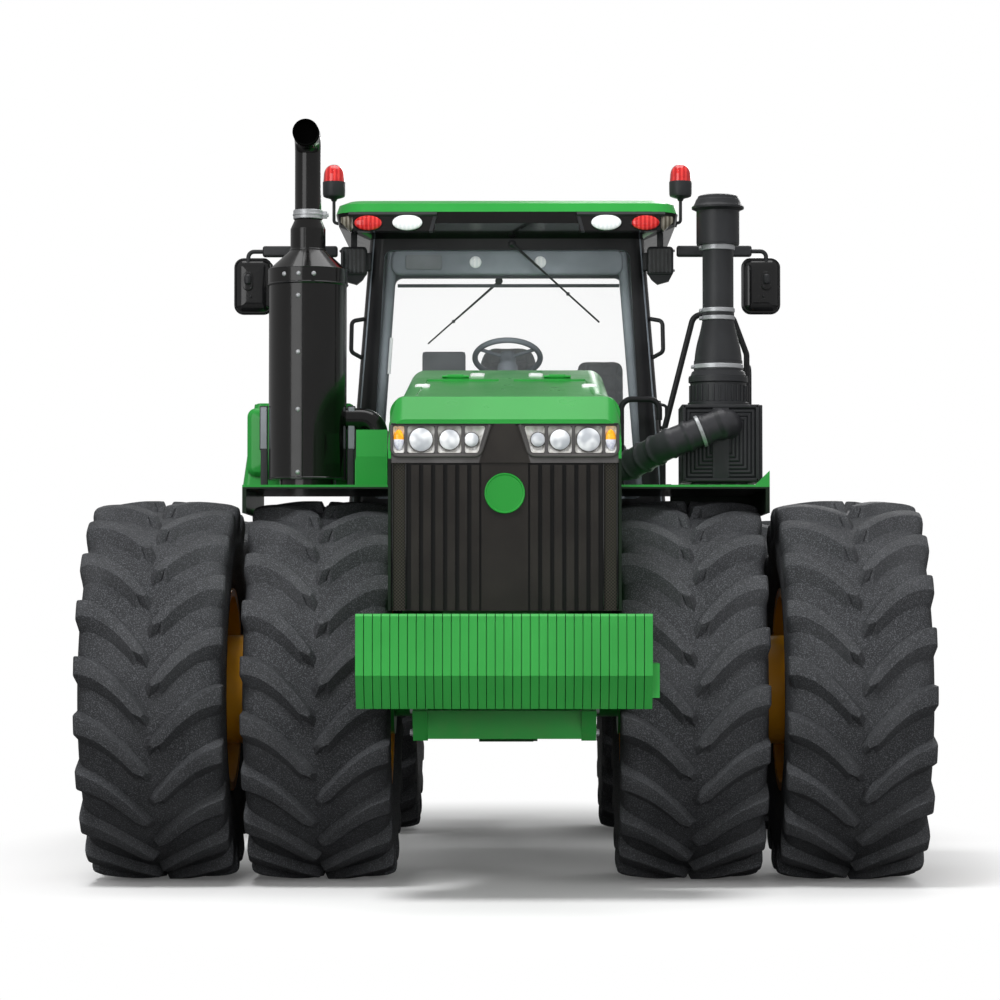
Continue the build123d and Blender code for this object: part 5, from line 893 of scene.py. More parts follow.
def make_cleaner():
    """Clamps, flanges, upright ribs and the nested square ridges of the air cleaner's box."""
    clamps, body = pieces(2)
    for low, high, radius in CLEANER_CLAMPS:
        turned(clamps, CLEANER_AXIS, Z, hoop(low, high, radius), 48)
        middle = (low + high) / 2
        box(clamps, CLEANER_AXIS + (-0.012 - radius, -0.030, middle - 0.009),
            CLEANER_AXIS + (0.004 - radius, 0.030, middle + 0.009))
        bolts(clamps, CLEANER_AXIS + (-0.006 - radius, -0.030, middle), -Y, 0.007)
    clamps.build("cleaner_clamps", "steel")
    turned(body, CLEANER_AXIS, Z, CLEANER_SHELL, 72)
    for x, y, _ in circle(CLEANER_AXIS, 0.158, SHELL_RIBS, X, Y):
        out = unit((x - CLEANER_AXIS[0], y - CLEANER_AXIS[1], 0))
        slab(body, (x, y, 2.700) - out * 0.006, np.cross(Z, out), Z, (0.010, 0.095), 0.003, 0.013, 0.003)
    half = 0.206 - np.arange(BOX_RIDGES) * 0.022
    rows = [(half[0], 0.001)]
    for k in range(BOX_RIDGES):
        rows += [(half[k], 0.011), (half[k] - 0.010, 0.011 - 0.0006 * k), (half[k] - 0.012, 0.002)]
    rows += [(0.012, 0.002), (0.0, 0.002)]
    flat = rounded(1, 1, 0.03, 3)
    for face, right in ((CLEANER_AXIS - CLEANER_BOX_HALF * Y, X), (CLEANER_AXIS + CLEANER_BOX_HALF * X, Y)):
        out = np.cross(right, Z)
        middle = face + CLEANER_BOX_Z * Z
        border = flat[:, :1] * right + flat[:, 1:] * Z
        body.add([middle + size * border + rise * out for size, rise in rows], around=True)
        slab(body, middle, right, Z, (0.095, 0.400), 0.012, 0.016, 0.004)
        for sign in (1, -1):
            slab(body, middle + sign * 0.2045 * right, right, Z, (0.020, 0.426), 0.006, 0.018, 0.004)
            slab(body, middle + sign * 0.205 * Z, right, Z, (0.420, 0.018), 0.006, 0.018, 0.004)
    body.build("cleaner_shell", "soft_black", sharp=28)


def make_hose():
    """Intake hose with raised hoops, from the cowl to the cleaner: radius + wave ** 10, and its clamps."""
    line = bent(HOSE_LINE, 0.090, 0.006)
    wave = np.abs(np.sin(np.linspace(0, 1, len(line)) * pi * HOSE_HOOPS))
    tube(Piece(), line, HOSE_R + 0.008 * wave ** 10, 40).build("intake_hose", "hose_rubber", sharp=50)
    bands = Piece()
    for place in (0.05, 0.70):
        k = int(place * len(line))
        turned(bands, line[k], line[k + 1] - line[k - 1], HOSE_CLAMP, 40)
        bolts(bands, line[k] - Y * 0.090, -Y, 0.008)
    bands.build("hose_clamps", "steel")


# ---------------------------------------------------------------- cab: lamps, mirrors, wipers, lining
POD_FACE_Y = -1.225
ROOF_LAMPS = [("red", 0.795, 3.700, 0.079, 0.043), ("white", 0.570, 3.702, 0.086, 0.045)]
POD_BROW = [(POD_FACE_Y + 0.09, 3.767), (POD_FACE_Y - 0.003, 3.763), (POD_FACE_Y - 0.012, 3.748),
            (POD_FACE_Y - 0.004, 3.738), (POD_FACE_Y + 0.09, 3.738)]
POD_CHEEK = [(0.400, -0.002, 3.745), (0.400, 0.08, 3.745), (0.426, 0.08, 3.652), (0.426, -0.002, 3.652)]
ROOF_CORNER = [(0.884, -1.190, 3.744), (0.955, -1.140, 3.744), (0.958, -1.120, 3.716), (0.905, -1.120, 3.665),
               (0.884, -1.190, 3.672)]
BEACON_X, BEACON_Y = 1.015, -0.820
BEACON_BASE = [(3.905, 0), (3.905, 0.014), (3.918, 0.020), (3.926, 0.050), (3.932, 0.062), (3.945, 0.0655),
               (4.012, 0.0665), (4.018, 0.0655), (4.018, 0)]
CORNER_LAMP_X, CORNER_LAMP_Z = 0.890, 3.508
CORNER_LAMP_FOOT = [(-0.072, -0.980, 3.438), (0.074, -0.980, 3.438), (0.050, -0.972, 3.392),
                    (-0.015, -0.970, 3.374), (-0.050, -0.975, 3.402)]
MIRROR_X, MIRROR_Y, MIRROR_ARM_Z = 1.505, -0.950, 3.566
MIRROR_BALL = [(-0.030, 0), (-0.030, 0.012), (-0.022, 0.020), (0.0, 0.024), (0.022, 0.020), (0.030, 0.012),
               (0.030, 0)]
MIRROR_BORDER = [(-0.004, 0.004), (0, 0.0), (0.020, 0.0), (0.028, 0.004), (0.031, 0.010), (0.029, 0.016)]
WIPERS = [((0.030, 3.610), (0.536, 3.153), -1), ((-0.060, 3.560), (-0.509, 3.164), 1)]   # pivot, tip, way out
HEADER_Z = 3.508
HANDLE_Z, DOOR_LATCH_Y, DOOR_LATCH_Z = 3.07, -0.745, 2.620
DOOR_HANDLE = [(0.010, 2.690), (0.050, 2.680), (0.050, 2.560), (0.014, 2.550)]          # out, and z
CAB_HANDLE = [(-0.010, -0.870, 3.180), (0.058, -0.905, 3.165), (0.062, -0.905, 2.985), (0.004, -0.870, 2.955)]


def make_roof_lamps():
    """Oval lamps of the two pods in black rings, brows over them, and the lenses at the corners."""
    lamps = {"red": Piece(), "white": Piece()}
    rings, brows, corners = pieces(3)
    turn = np.linspace(0, tau, 49)
    for side in SIDES:
        flip = np.array([side, 1, 1])
        for colour, x, z, half_w, half_h in ROOF_LAMPS:
            oval_lens(lamps[colour], (side * x, POD_FACE_Y + 0.0005, z), half_w, half_h, 0.0135)
            path = np.stack([side * x + (half_w + 0.002) * np.cos(turn), np.full(49, POD_FACE_Y - 0.001),
                             z + (half_h + 0.002) * np.sin(turn)], -1)
            tube(rings, path, 0.0042, 8)
        prism(brows, [(side * 0.402, y, z) for y, z in POD_BROW], (side * 0.505, 0, 0))
        prism(brows, np.add(POD_CHEEK, POD_FACE_Y * Y) * flip, (side * 0.020, 0, 0))
        prism(corners, ROOF_CORNER * flip, (0, 0.050, 0))
    lamps["red"].build("roof_lamps_red", "red_lens", sharp=60)
    lamps["white"].build("roof_lamps_white", "bright_lens", sharp=60)
    rings.build("roof_lamp_rings", "gloss_black")
    brows.build("roof_pod_brows", "soft_black", slot="gloss_black", sharp=25)
    corners.build("roof_corner_lenses", "bronze_lens", sharp=30)


def make_beacons():
    """Beacons: a thin bent stem, a black base with a waist, and a red dome.

    Seen from its side, the dome is cos(a) ** 0.85 wide where it is sin(a) high.
    """
    bases, domes = pieces(2)
    a = np.linspace(0, pi / 2, 10)
    dome = np.stack([4.056 + 0.066 * np.sin(a), 0.0605 * np.cos(a) ** 0.85], -1)
    for side in SIDES:
        x, y = side * BEACON_X, BEACON_Y
        tube(bases, bent([(side * 0.988, y, 3.745), (x, y, 3.752), (x, y, 3.910)], 0.018, 0.006), 0.0095, 12)
        slab(bases, (side * 0.985, y, 3.750), Y, Z, (0.075, 0.050), 0.010, 0.008, 0.003)
        turned(bases, (x, y, -0.028), Z, BEACON_BASE, 40)
        turned(domes, (x, y, -0.030), Z, [(4.017, 0), (4.017, 0.0625), (4.030, 0.0625), *dome], 40)
    bases.build("beacon_bases", "soft_black")
    domes.build("beacon_domes", "red_lens", sharp=50)


def make_corner_lamps():
    """Work lamps under the roof's front corners: stem, bevelled housing, slanted lower box and lens."""
    housings, lenses = pieces(2)
    for side in SIDES:
        x = side * CORNER_LAMP_X
        box(housings, (x - 0.018, -0.966, 3.580), (x + 0.018, -0.934, 3.676), 0.005)
        slab(housings, (x, -0.905, CORNER_LAMP_Z), X, Z, (0.152, 0.168), 0.022, 0.080, 0.012)
        for k in range(5):
            fin_x = x - 0.055 + k * 0.0255
            box(housings, (fin_x, -0.915, 3.440), (fin_x + 0.008, -0.895, 3.576), 0.002)
        prism(housings, [(x + side * dx, y, z) for dx, y, z in CORNER_LAMP_FOOT], (0, 0.060, 0))
        slab(lenses, (x, -0.983, CORNER_LAMP_Z), X, Z, (0.128, 0.140), 0.014, 0.006, 0.002)
        box(housings, (side * 0.790, -0.945, 3.455), (side * 0.825, -0.890, 3.560), 0.006)
        bolts(housings, [(x + side * 0.078, -0.945, z) for z in (3.570, 3.455)], (side, 0, 0), 0.007)
    housings.build("corner_lamp_housings", "soft_black", replaces=["cab_lamps"], sharp=28)
    lenses.build("corner_lamp_lenses", "dark_lens")


def make_mirrors():
    """Mirrors: rounded arm, bent tube, ball joint, and a crowned head with its glass to the rear.

    The head's back swells as (1 - edge ** 4), where edge is 1 along its border.
    """
    arms, heads, glasses = pieces(3)
    swell = [(0.031 + 0.021 * (1 - edge ** 4), 0.018 + 0.085 * (1 - edge)) for edge in np.linspace(1, 0, 7)]
    for side in SIDES:
        x, y = side * MIRROR_X, MIRROR_Y
        slab(arms, (side * 0.985, y, MIRROR_ARM_Z), Y * side, Z, (0.052, 0.064), 0.014, 0.436, 0.014)
        path = bent([(side * 1.415, y, MIRROR_ARM_Z), (x, y, MIRROR_ARM_Z), (x, y, 3.395)], 0.034, 0.006)
        tube(arms, path, 0.0125, 14)
        turned(arms, (x, y - 0.030, 3.400), Z, MIRROR_BALL, 24)
        for z in (3.352, 3.302):
            studs(arms, (side * 1.488, y - 0.032, z), -Y, 0.007)
        centre = np.array([side * 1.475, y + 0.028, 3.365])
        layered(heads, centre, X, Z, (0.226, 0.330), 0.055, MIRROR_BORDER + swell)
        slab(heads, centre + (side * 0.030, -0.052, 0.026), X, Z, (0.060, 0.110), 0.029, 0.010, 0.004)
        slab(glasses, centre + 0.0035 * Y, -X, Z, (0.206, 0.310), 0.046, 0.003, 0.001)
    arms.build("mirror_arms", "soft_black", replaces=["mirrors"])
    heads.build("mirror_heads", "dark_gloss", slot="black_plastic", sharp=35)
    glasses.build("mirror_glasses", "chrome", slot="glass")


def on_glass(wiper, share, lift):
    """Point between a wiper's pivot and its tip, off the leaning glass by a lift."""
    start, end, sign = wiper
    x, z = start[0] + share * (end[0] - start[0]), start[1] + share * (end[1] - start[1])
    return np.array([x, cab_wall(z)[1 if sign < 0 else 2] + sign * lift, z])


def make_wipers():
    """Wipers outside the windscreen and the rear window: pivot, tapered arm, hinge and blade."""
    wipers = Piece()
    for wiper in WIPERS:
        sign = wiper[2]
        turned(wipers, on_glass(wiper, 0, -0.010), sign * Y,
               [(0, 0), (0, 0.024), (0.018, 0.022), (0.026, 0.012), (0.026, 0)], 24)
        arm = [on_glass(wiper, s, 0.024 + 0.010 * s * (1 - s) - 0.012 * s) for s in np.linspace(0, 0.66, 10)]
        tube(wipers, arm, np.linspace(0.0085, 0.005, 10), 8)
        slab(wipers, on_glass(wiper, 0.64, 0.004), -sign * X, Z, (0.020, 0.020), 0.006, 0.020, 0.003)
        blade = np.array([on_glass(wiper, s, 0.006) for s in np.linspace(0.10, 1.0, 14)])
        tube(wipers, blade, 0.0048, 8)
        tube(wipers, blade + (0, sign * 0.004, 0.004), 0.0028, 6)
    wipers.build("wipers", "soft_black")


def make_lining():
    """Grey header panel with its two round lamps and the inner mirror, pillar linings, rear bar, and a pale
    strip painted as a highlight on the left pillar.
    """
    lining, lamps, mirror = pieces(3)
    slab(lining, (0, -0.860, HEADER_Z), X, Z, (1.350, 0.148), 0.050, 0.055, 0.018)
    for x in (-0.184, 0.193):
        turned(lamps, (x, -0.913, HEADER_Z), -Y,
               [(0, 0), (0, 0.035), (0.006, 0.035), (0.010, 0.031), (0.0115, 0.015), (0.012, 0)], 40)
    tube(lining, [(x, 0.640, 3.530) for x in (-0.700, -0.3, 0.3, 0.700)], 0.011, 10)
    slab(mirror, (-0.485, -0.914, HEADER_Z), X, Z, (0.210, 0.085), 0.014, 0.010, 0.004)
    z = np.linspace(2.14, 3.57, 24)
    wide, front, _ = cab_wall(z)
    for side in SIDES:
        tube(lining, np.stack([side * (wide - 0.135), front + 0.090, z], -1), 0.030, 12)
    # Pale strip on the left pillar's lining, in the lamps' bright lens finish: a painted highlight
    tube(lamps, np.linspace((-0.690, -0.870, 2.860), (-0.675, -0.880, 3.070), 8), 0.010, 10)
    lining.build("cab_lining", "pale_grey")
    lamps.build("cab_inner_lamps_and_highlight", "bright_lens", sharp=60)
    mirror.build("cab_inner_mirror", "light_grey")


def make_cab_trim():
    """Grab handles beside the windscreen, and the door's handle on its plate."""
    handles, latch = pieces(2)
    wide = cab_wall(HANDLE_Z)[0]
    for side in SIDES:
        bar = [(side * (wide + out), y, z) for out, y, z in CAB_HANDLE]
        tube(handles, bent(bar, 0.030, 0.008), 0.0125, 12)
    wide, y = cab_wall(DOOR_LATCH_Z)[0], DOOR_LATCH_Y
    slab(latch, (wide - 0.002, y, DOOR_LATCH_Z), Y, Z, (0.050, 0.180), 0.012, 0.020, 0.006)
    tube(latch, bent([(wide + out, y, z) for out, z in DOOR_HANDLE], 0.018, 0.006), 0.009, 10)
    handles.build("cab_handles", "soft_black")
    latch.build("door_latch", "soft_black", "door")


# ---------------------------------------------------------------- inside the cab
SEATS = [  # x, y of seat and back, half widths, heights of foot, seat and back, crown of the back's top
    ("driver", 0.0, (-0.100, 0.330), (0.335, 0.450), 0.250, 0.215, 2.440, 2.600, 3.150, 0.16),
    ("passenger", 0.575, (0.110, 0.400), (0.405, 0.490), 0.180, 0.180, 2.390, 2.520, 3.070, 0.05),
]
SEAT_SEAMS = {  # axis across, axis and way that their face looks, width, places by half the half size
    "seat": (1, 2, 1, 0.007, (-0.8, 0.1, 0.9)),
    "back": (2, 1, -1, 0.008, (-1.0, -0.3, 0.4, 1.1)),
}
SIDE_SEAM = 0.55                             # of the half width
SIDE_SEAM_W, WELT_W, SEAM_DEPTH = 0.008, 0.006, 0.009
CLOTH_STEPS, CLOTH_PRESSURE, MOST_SWELL, VOXEL = 20, 4.0, 0.022, 0.008
MONITOR_X, MONITOR_Z = -0.3875, 2.9425
LEVER_KNOB = [(-0.012, 0), (-0.010, 0.009), (0.004, 0.012), (0.016, 0.010), (0.022, 0)]
STICK_KNOB = [(-0.02, 0), (-0.018, 0.018), (0.01, 0.026), (0.04, 0.022), (0.052, 0)]


def pillow(centre, half, power, columns=40, rows=28):
    """Closed cushion form: a sphere's points pushed out to a box by a power, then eased at its edges."""
    a = np.linspace(-pi / 2, pi / 2, rows)[:, None]
    b = np.arange(columns)[None] * tau / columns
    form = np.stack([np.cos(a) * np.cos(b), np.cos(a) * np.sin(b), np.sin(a) * np.ones_like(b)], -1)
    reach = (np.abs(form) ** power).sum(-1, keepdims=True) ** (-1 / power)
    return np.asarray(centre) + form * reach * np.asarray(half)


def vectors(items, name):
    """One vector of each vertex of a mesh."""
    values = np.empty(len(items) * 3)
    items.foreach_get(name, values)
    return values.reshape(-1, 3)


def plump(made):
    """Swell a closed mesh as cloth over air, no point moving further than a limit."""
    scene = bpy.context.scene
    remesh = made.modifiers.new("remesh", "REMESH")
    remesh.mode, remesh.voxel_size = "VOXEL", VOXEL
    bpy.context.view_layer.objects.active = made
    bpy.ops.object.modifier_apply(modifier="remesh")
    start = vectors(made.data.vertices, "co")
    cloth = made.modifiers.new("cloth", "CLOTH")
    cloth.settings.use_pressure, cloth.settings.uniform_pressure_force = True, CLOTH_PRESSURE
    cloth.settings.effector_weights.gravity = 0
    cloth.point_cache.frame_start, cloth.point_cache.frame_end = 1, CLOTH_STEPS
    for step in range(1, CLOTH_STEPS + 1):
        scene.frame_set(step)
    ready = made.evaluated_get(bpy.context.evaluated_depsgraph_get())
    shift = vectors(ready.data.vertices, "co") - start
    made.modifiers.remove(cloth)
    length = np.linalg.norm(shift, axis=1, keepdims=True)
    shift *= np.minimum(1, MOST_SWELL / np.maximum(length, 1e-9))
    made.data.vertices.foreach_set("co", (start + shift).ravel())
    made.data.update()
    scene.frame_set(1)


def sew(made, seams, welt, depth):
    """Press seams and a welt round the border into a cushion: each vertex moves in along its normal.

    The depth falls off from a seam as exp(-(distance / width) ** 2).
    """
    mesh = made.data
    points, normals = vectors(mesh.vertices, "co"), vectors(mesh.vertex_normals, "vector")
    press = np.zeros(len(points))
    for axis, place, width, facing, sign in seams:
        near = np.exp(-((points[:, axis] - place) / width) ** 2)
        press = np.maximum(press, near * np.clip(normals[:, facing] * sign, 0, 1))
    axis, place, width = welt
    near = np.exp(-((points[:, axis] - place) / width) ** 2)
    press = np.maximum(press, 0.6 * near * (1 - np.abs(normals[:, axis])))
    mesh.vertices.foreach_set("co", (points - normals * press[:, None] * depth).ravel())
    mesh.update()


def make_seats():
    """Two seats, each of a cushion and a back, swollen as padded cloth and then sewn."""
    for name, x, seat_y, back_y, seat_half, back_half, foot, top, back_top, crown in SEATS:
        parts = [
            ("seat", (x, sum(seat_y) / 2, (foot + top) / 2),
             (seat_half - 0.018, (seat_y[1] - seat_y[0]) / 2 - 0.012, (top - foot) / 2 - 0.016)),
            ("back", (x, sum(back_y) / 2, (top + back_top) / 2),
             (back_half - 0.016, (back_y[1] - back_y[0]) / 2 - 0.014, (back_top - top) / 2 - 0.016)),
        ]
        for part, centre, half in parts:
            grid = pillow(centre, half, 7.0 if name == "passenger" else 5.5)
            if part == "back":
                high = np.clip((grid[..., 2] - centre[2]) / half[2], 0, 1) ** 3
                grid[..., 0] += (centre[0] - grid[..., 0]) * crown * high
                grid[..., 1] += 0.012 * high
            first = name == "driver" and part == "seat"
            made = Piece().add(grid, around=True).build(
                f"{name}_{part}", "seat_cloth", replaces=["seats"] if first else (), sharp=180)
            plump(made)
            axis, facing, sign, width, spots = SEAT_SEAMS[part]
            seams = [(0, x + s * half[0] * SIDE_SEAM, SIDE_SEAM_W, facing, sign) for s in SIDES]
            seams += [(axis, centre[axis] + k * half[axis] * 0.5, width, facing, sign) for k in spots]
            sew(made, seams, (facing, centre[facing], WELT_W), SEAM_DEPTH)
            smooth = made.modifiers.new("smooth", "SUBSURF")
            smooth.levels = smooth.render_levels = 1


def make_controls():
    """Monitor with its bezel, armrest pad, levers, a joystick and the dash hood."""
    panels, screens, pads = pieces(3)
    slab(panels, (MONITOR_X, -0.104, MONITOR_Z), X, Z, (0.262, 0.212), 0.022, 0.050, 0.010)
    slab(panels, (0.0, -0.770, 2.500), X, Z, (0.470, 0.130), 0.030, 0.020, 0.008)
    slab(pads, (-0.410, 0.190, 2.702), X, Y, (0.150, 0.440), 0.050, 0.048, 0.020)
    slab(screens, (MONITOR_X, -0.101, MONITOR_Z), -X, Z, (0.222, 0.172), 0.010, 0.004, 0.001)
    for k in range(4):
        x, y = -0.470 + k * 0.035, -0.075
        tube(panels, [(x, y, 2.700), (x, y - 0.006, 2.745), (x, y - 0.016, 2.780)], 0.005, 8)
        turned(panels, (x, y - 0.018, 2.782), Z, LEVER_KNOB, 14)
    stick = [(-0.360, -0.030, 2.700), (-0.360, -0.045, 2.790), (-0.352, -0.060, 2.850)]
    tube(panels, bent(stick, 0.03, 0.01), 0.011, 10)
    turned(panels, (-0.352, -0.062, 2.852), Z, STICK_KNOB, 18)
    panels.build("cab_controls", "light_grey", sharp=35)
    pads.build("armrest_pad", "seat_cloth", sharp=60)
    screens.build("monitor_screen", "dark_gloss", slot="glass")


# ---------------------------------------------------------------- wheels
FACE_X, INNER_DISC_X = 1.921, 0.8525         # outer face of the outer disc, inner face of the inner one
RIM_LIPS_X = (1.523, 2.229, 0.648, 1.354)
HUB_CAP = [(0, 0), (0, 0.2075), (0.070, 0.2075), (0.080, 0.200), (0.092, 0.196), (0.0975, 0.178),
           (0.0985, 0.120), (0.0985, 0.0)]
HUB_PLUG = [(0, 0), (0, 0.062), (0.007, 0.060), (0.010, 0.050), (0.0105, 0)]
BOLT_BAND = [(0, 0.236), (0.006, 0.236), (0.008, 0.240), (0.008, 0.315), (0.006, 0.320), (0, 0.320)]
RIM_LIP = [(-0.009, 0.556), (-0.009, 0.5595), (-0.005, 0.5615), (0.005, 0.5615), (0.009, 0.5595),
           (0.009, 0.556)]
DISC_BOLTS_R, DISC_BOLTS = 0.455, 16
BOLT_CIRCLES = [  # rise off the face, circle's radius, count, first angle, bolt's radius
    (0.0985, 0.152, 12, 0.0, 0.011),
    (0.008, 0.277, 10, 0.2, 0.017),
    (0, DISC_BOLTS_R, DISC_BOLTS, 0.0, 0.016),
    (0.1085, 0.034, 3, 0.0, 0.006),
]
VALVES_X, VALVE_R, VALVE_TURN, VALVE_REACH = (2.09, 1.21), 0.512, 0.6, 0.055


def make_wheels():
    """Rim details: lips, wheel bolts in circles, hub cap with its plug, and the tyres' valves."""
    for corner, side, axle_y in WHEELS:
        axle, out = np.array([0, axle_y, AXLE_Z]), side * X
        gold, steel = pieces(2)
        face = axle + out * FACE_X
        turned(gold, face, out, HUB_CAP, 64)
        turned(gold, face + out * 0.098, out, HUB_PLUG, 40)
        turned(gold, face, out, BOLT_BAND, 72)
        for x in RIM_LIPS_X:
            turned(gold, axle + out * x, out, RIM_LIP, 96)
        for rise, radius, count, start, size in BOLT_CIRCLES:
            bolts(steel, circle(face + out * rise, radius, count, Y, Z, start), out, size)
        bolts(steel, circle(axle + out * INNER_DISC_X, DISC_BOLTS_R, DISC_BOLTS, Y, Z), -out, 0.014)
        down = np.array([0, cos(VALVE_TURN), -sin(VALVE_TURN)])
        for x in VALVES_X:
            root = axle + out * x - VALVE_R * down
            tip = root + (0.8 * out + 0.55 * down) * VALVE_REACH
            tube(steel, np.linspace(root, tip, 5), [0.008, 0.007, 0.006, 0.006, 0.005], 10)
        gold.build(f"wheel_covers_{corner}", "gold_paint", f"wheels_{corner}", sharp=28)
        steel.build(f"wheel_bolts_{corner}", "steel", f"wheels_{corner}")


# ---------------------------------------------------------------- frame, platforms, ladder, rear
FRAME_SIDE_X = 0.3605
PLATFORM_TOP, STEP_TOP = 2.1618, 2.0498      # of the tread strips' seats
LADDER_STEPS = [(1.370, 0.560), (1.290, 0.900), (1.210, 1.240), (1.130, 1.580)]          # x and z
TREAD_RING = [(0, 0.013), (0.004, 0.0115), (0.004, 0.0085), (-0.002, 0.0075)]
BATTERY_FACE_Y, SMALL_BOX_Y = STACK_AXIS[1] + 0.259, STACK_AXIS[1] - 0.330
SMALL_BOX_COVER = [(0.010, 2.168), (-0.005, 2.168), (-0.022, 2.330), (-0.005, 2.4785), (0.010, 2.4785)]
TANK_CAP = [(-0.004, 0), (-0.004, 0.085), (0.010, 0.085), (0.014, 0.078), (0.016, 0.064), (0.046, 0.062),
            (0.052, 0.056), (0.054, 0.040), (0.054, 0)]
TANK_CAP_GRIP = [(0, 0), (0, 0.006), (0.034, 0.005), (0.036, 0)]
TAIL_LAMP = np.array([1.250, AXLE_Y["rear"] + 0.950, 1.730])
COUPLER_PLACES = [(x, z) for x in (-0.210, -0.070, 0.070, 0.210) for z in (1.180, 1.330)]
COUPLER_COLLAR = [(-0.002, 0.0425), (-0.002, 0.047), (0.010, 0.047), (0.010, 0.0425)]
COUPLER_CAP = [(-0.020, 0.0425), (-0.020, 0.0445), (0.002, 0.0445), (0.006, 0.040), (0.006, 0)]
WORK_LAMPS_X = (0.350, 0.700, -0.350, -0.700)
WORK_LAMP = [(0, 0), (0, 0.030), (0.020, 0.052), (0.048, 0.056), (0.052, 0.052), (0.050, 0.048), (0.046, 0)]
WORK_LAMP_GLASS = [(0, 0), (0, 0.0475), (0.003, 0.0460), (0.006, 0.030), (0.007, 0)]
CYLINDER_Z = 0.930
CYLINDER_GLAND = [(-0.050, 0.0605), (-0.050, 0.0655), (-0.004, 0.0655), (0.001, 0.061), (0.001, 0.034)]
CYLINDER_BAND = [(-0.012, 0.0605), (-0.012, 0.0645), (0.014, 0.0645), (0.014, 0.0605)]
HOSE_UNION = [(0.055, 0), (0.055, 0.019), (0.068, 0.019), (0.068, 0.015), (0.082, 0.015), (0.082, 0.010),
              (0.092, 0.009), (0.092, 0)]
MOUNT_RING = [(-0.012, 0.0705), (-0.010, 0.078), (0.010, 0.078), (0.012, 0.0705)]


def make_frame_bolts():
    """Bolts of the brackets, rails, pivot cover and coupler plate."""
    front, rear = pieces(2)
    rail, bracket = [FRAME_SIDE_X], [0.466]
    side_bolts(front, lattice(bracket, [-3.150], [0.861, 0.974]), 0.0165)
    side_bolts(front, lattice(rail, [-2.930, -2.800, -2.340, -1.100, -0.980], [1.160, 1.290]), 0.017)
    side_bolts(front, lattice(rail, [-1.860, -1.700, -1.560], [1.150]), 0.020)
    side_bolts(rear, lattice(rail, [1.640, 2.060, 2.210, 2.360, 2.780], [1.160]), 0.018)
    bolts(front, circle((0, PIVOT_Y, 1.3765), 0.050, 6, X, Y), Z, 0.009)
    plate_y = span("rear_frame")[1][1] - 0.110
    bolts(rear, lattice([-0.320, 0.320], [plate_y], [1.110, 1.240, 1.370, 1.500]), Y, 0.015)
    front.build("frame_bolts_front", "steel")
    rear.build("frame_bolts_rear", "steel", "chassis_rear")


def make_platform_trim():
    """Tread strips, the battery box's lid and catches, the small box's cover, and the muffler's shields."""
    treads, boxes, catches, shields, feet = pieces(5)
    for x in np.arange(0.66, 1.36, 0.075):
        for low, high in ((-2.10, -1.86), (-1.20, -1.05)):
            slab(treads, (x, (low + high) / 2, PLATFORM_TOP), X, Y, (0.030, high - low), 0.012, 0.005, 0.002)
    for x in np.arange(1.000, 1.40, 0.055):
        slab(treads, (x, -0.450, STEP_TOP), X, Y, (0.022, 0.84), 0.010, 0.005, 0.002)
    treads.build("platform_treads", "soft_black", slot="black_metal")
    slab(boxes, (-1.165, (BATTERY_FACE_Y - 0.835) / 2, 2.652), X, Y, (0.545, 0.30), 0.040, 0.016, 0.008)
    layered(boxes, (-1.182, BATTERY_FACE_Y + 0.020, 2.440), X, Z, (0.600, 0.390), 0.050,
            [(0, 0), (0.026, 0), (0.046, 0.022), (0.048, 0.028)])
    boxes.build("battery_box_lid", "green_paint")
    cover = [(-0.828, SMALL_BOX_Y + y, z) for y, z in SMALL_BOX_COVER]
    prism(Piece(), cover, (0.172, 0, 0)).build("small_box_cover", "green_paint", sharp=10)
    for side in SIDES:
        foot = STACK_AXIS + (side * 0.247, 0.014, 2.5065)
        slab(shields, foot - 0.004 * Y, X, Z, (0.036, 0.236), 0.005, 0.026, 0.004)
        slab(feet, foot, X, Z, (0.046, 0.250), 0.006, 0.024, 0.004)
        slab(feet, foot - (side * 0.004, 0.004, 0.231), X, Z, (0.040, 0.226), 0.010, 0.030, 0.006)
    shields.build("muffler_shields", "light_grey")
    feet.build("muffler_shield_feet", "soft_black")
    for z in (2.30, 2.52):
        slab(catches, (-1.488 + (z - 2.162) * 0.14, -1.150, z), -Y, Z, (0.036, 0.070), 0.008, 0.014, 0.003)
    catches.build("battery_box_catches", "soft_black")


def make_ladder():
    """Perforated treads with raised rings, and the bolts of the ladder's stringers."""
    treads, screws = pieces(2)
    for x, z in LADDER_STEPS:
        slab(treads, (x, -0.3675, z + 0.0298), X, Y, (0.186, 0.395), 0.006, 0.004, 0.001)
        rows = x + np.array([-0.060, -0.020, 0.020, 0.060])
        turned(treads, lattice(rows, np.linspace(-0.53, -0.205, 9), [z + 0.0335]), Z, TREAD_RING, 12)
        for y, out in ((-0.5905, -Y), (-0.1445, Y)):
            bolts(screws, [(x - 0.04, y, z + 0.015), (x + 0.04, y, z + 0.015)], out, 0.009)
    treads.build("ladder_treads", "soft_black", slot="black_metal")
    screws.build("ladder_bolts", "steel")


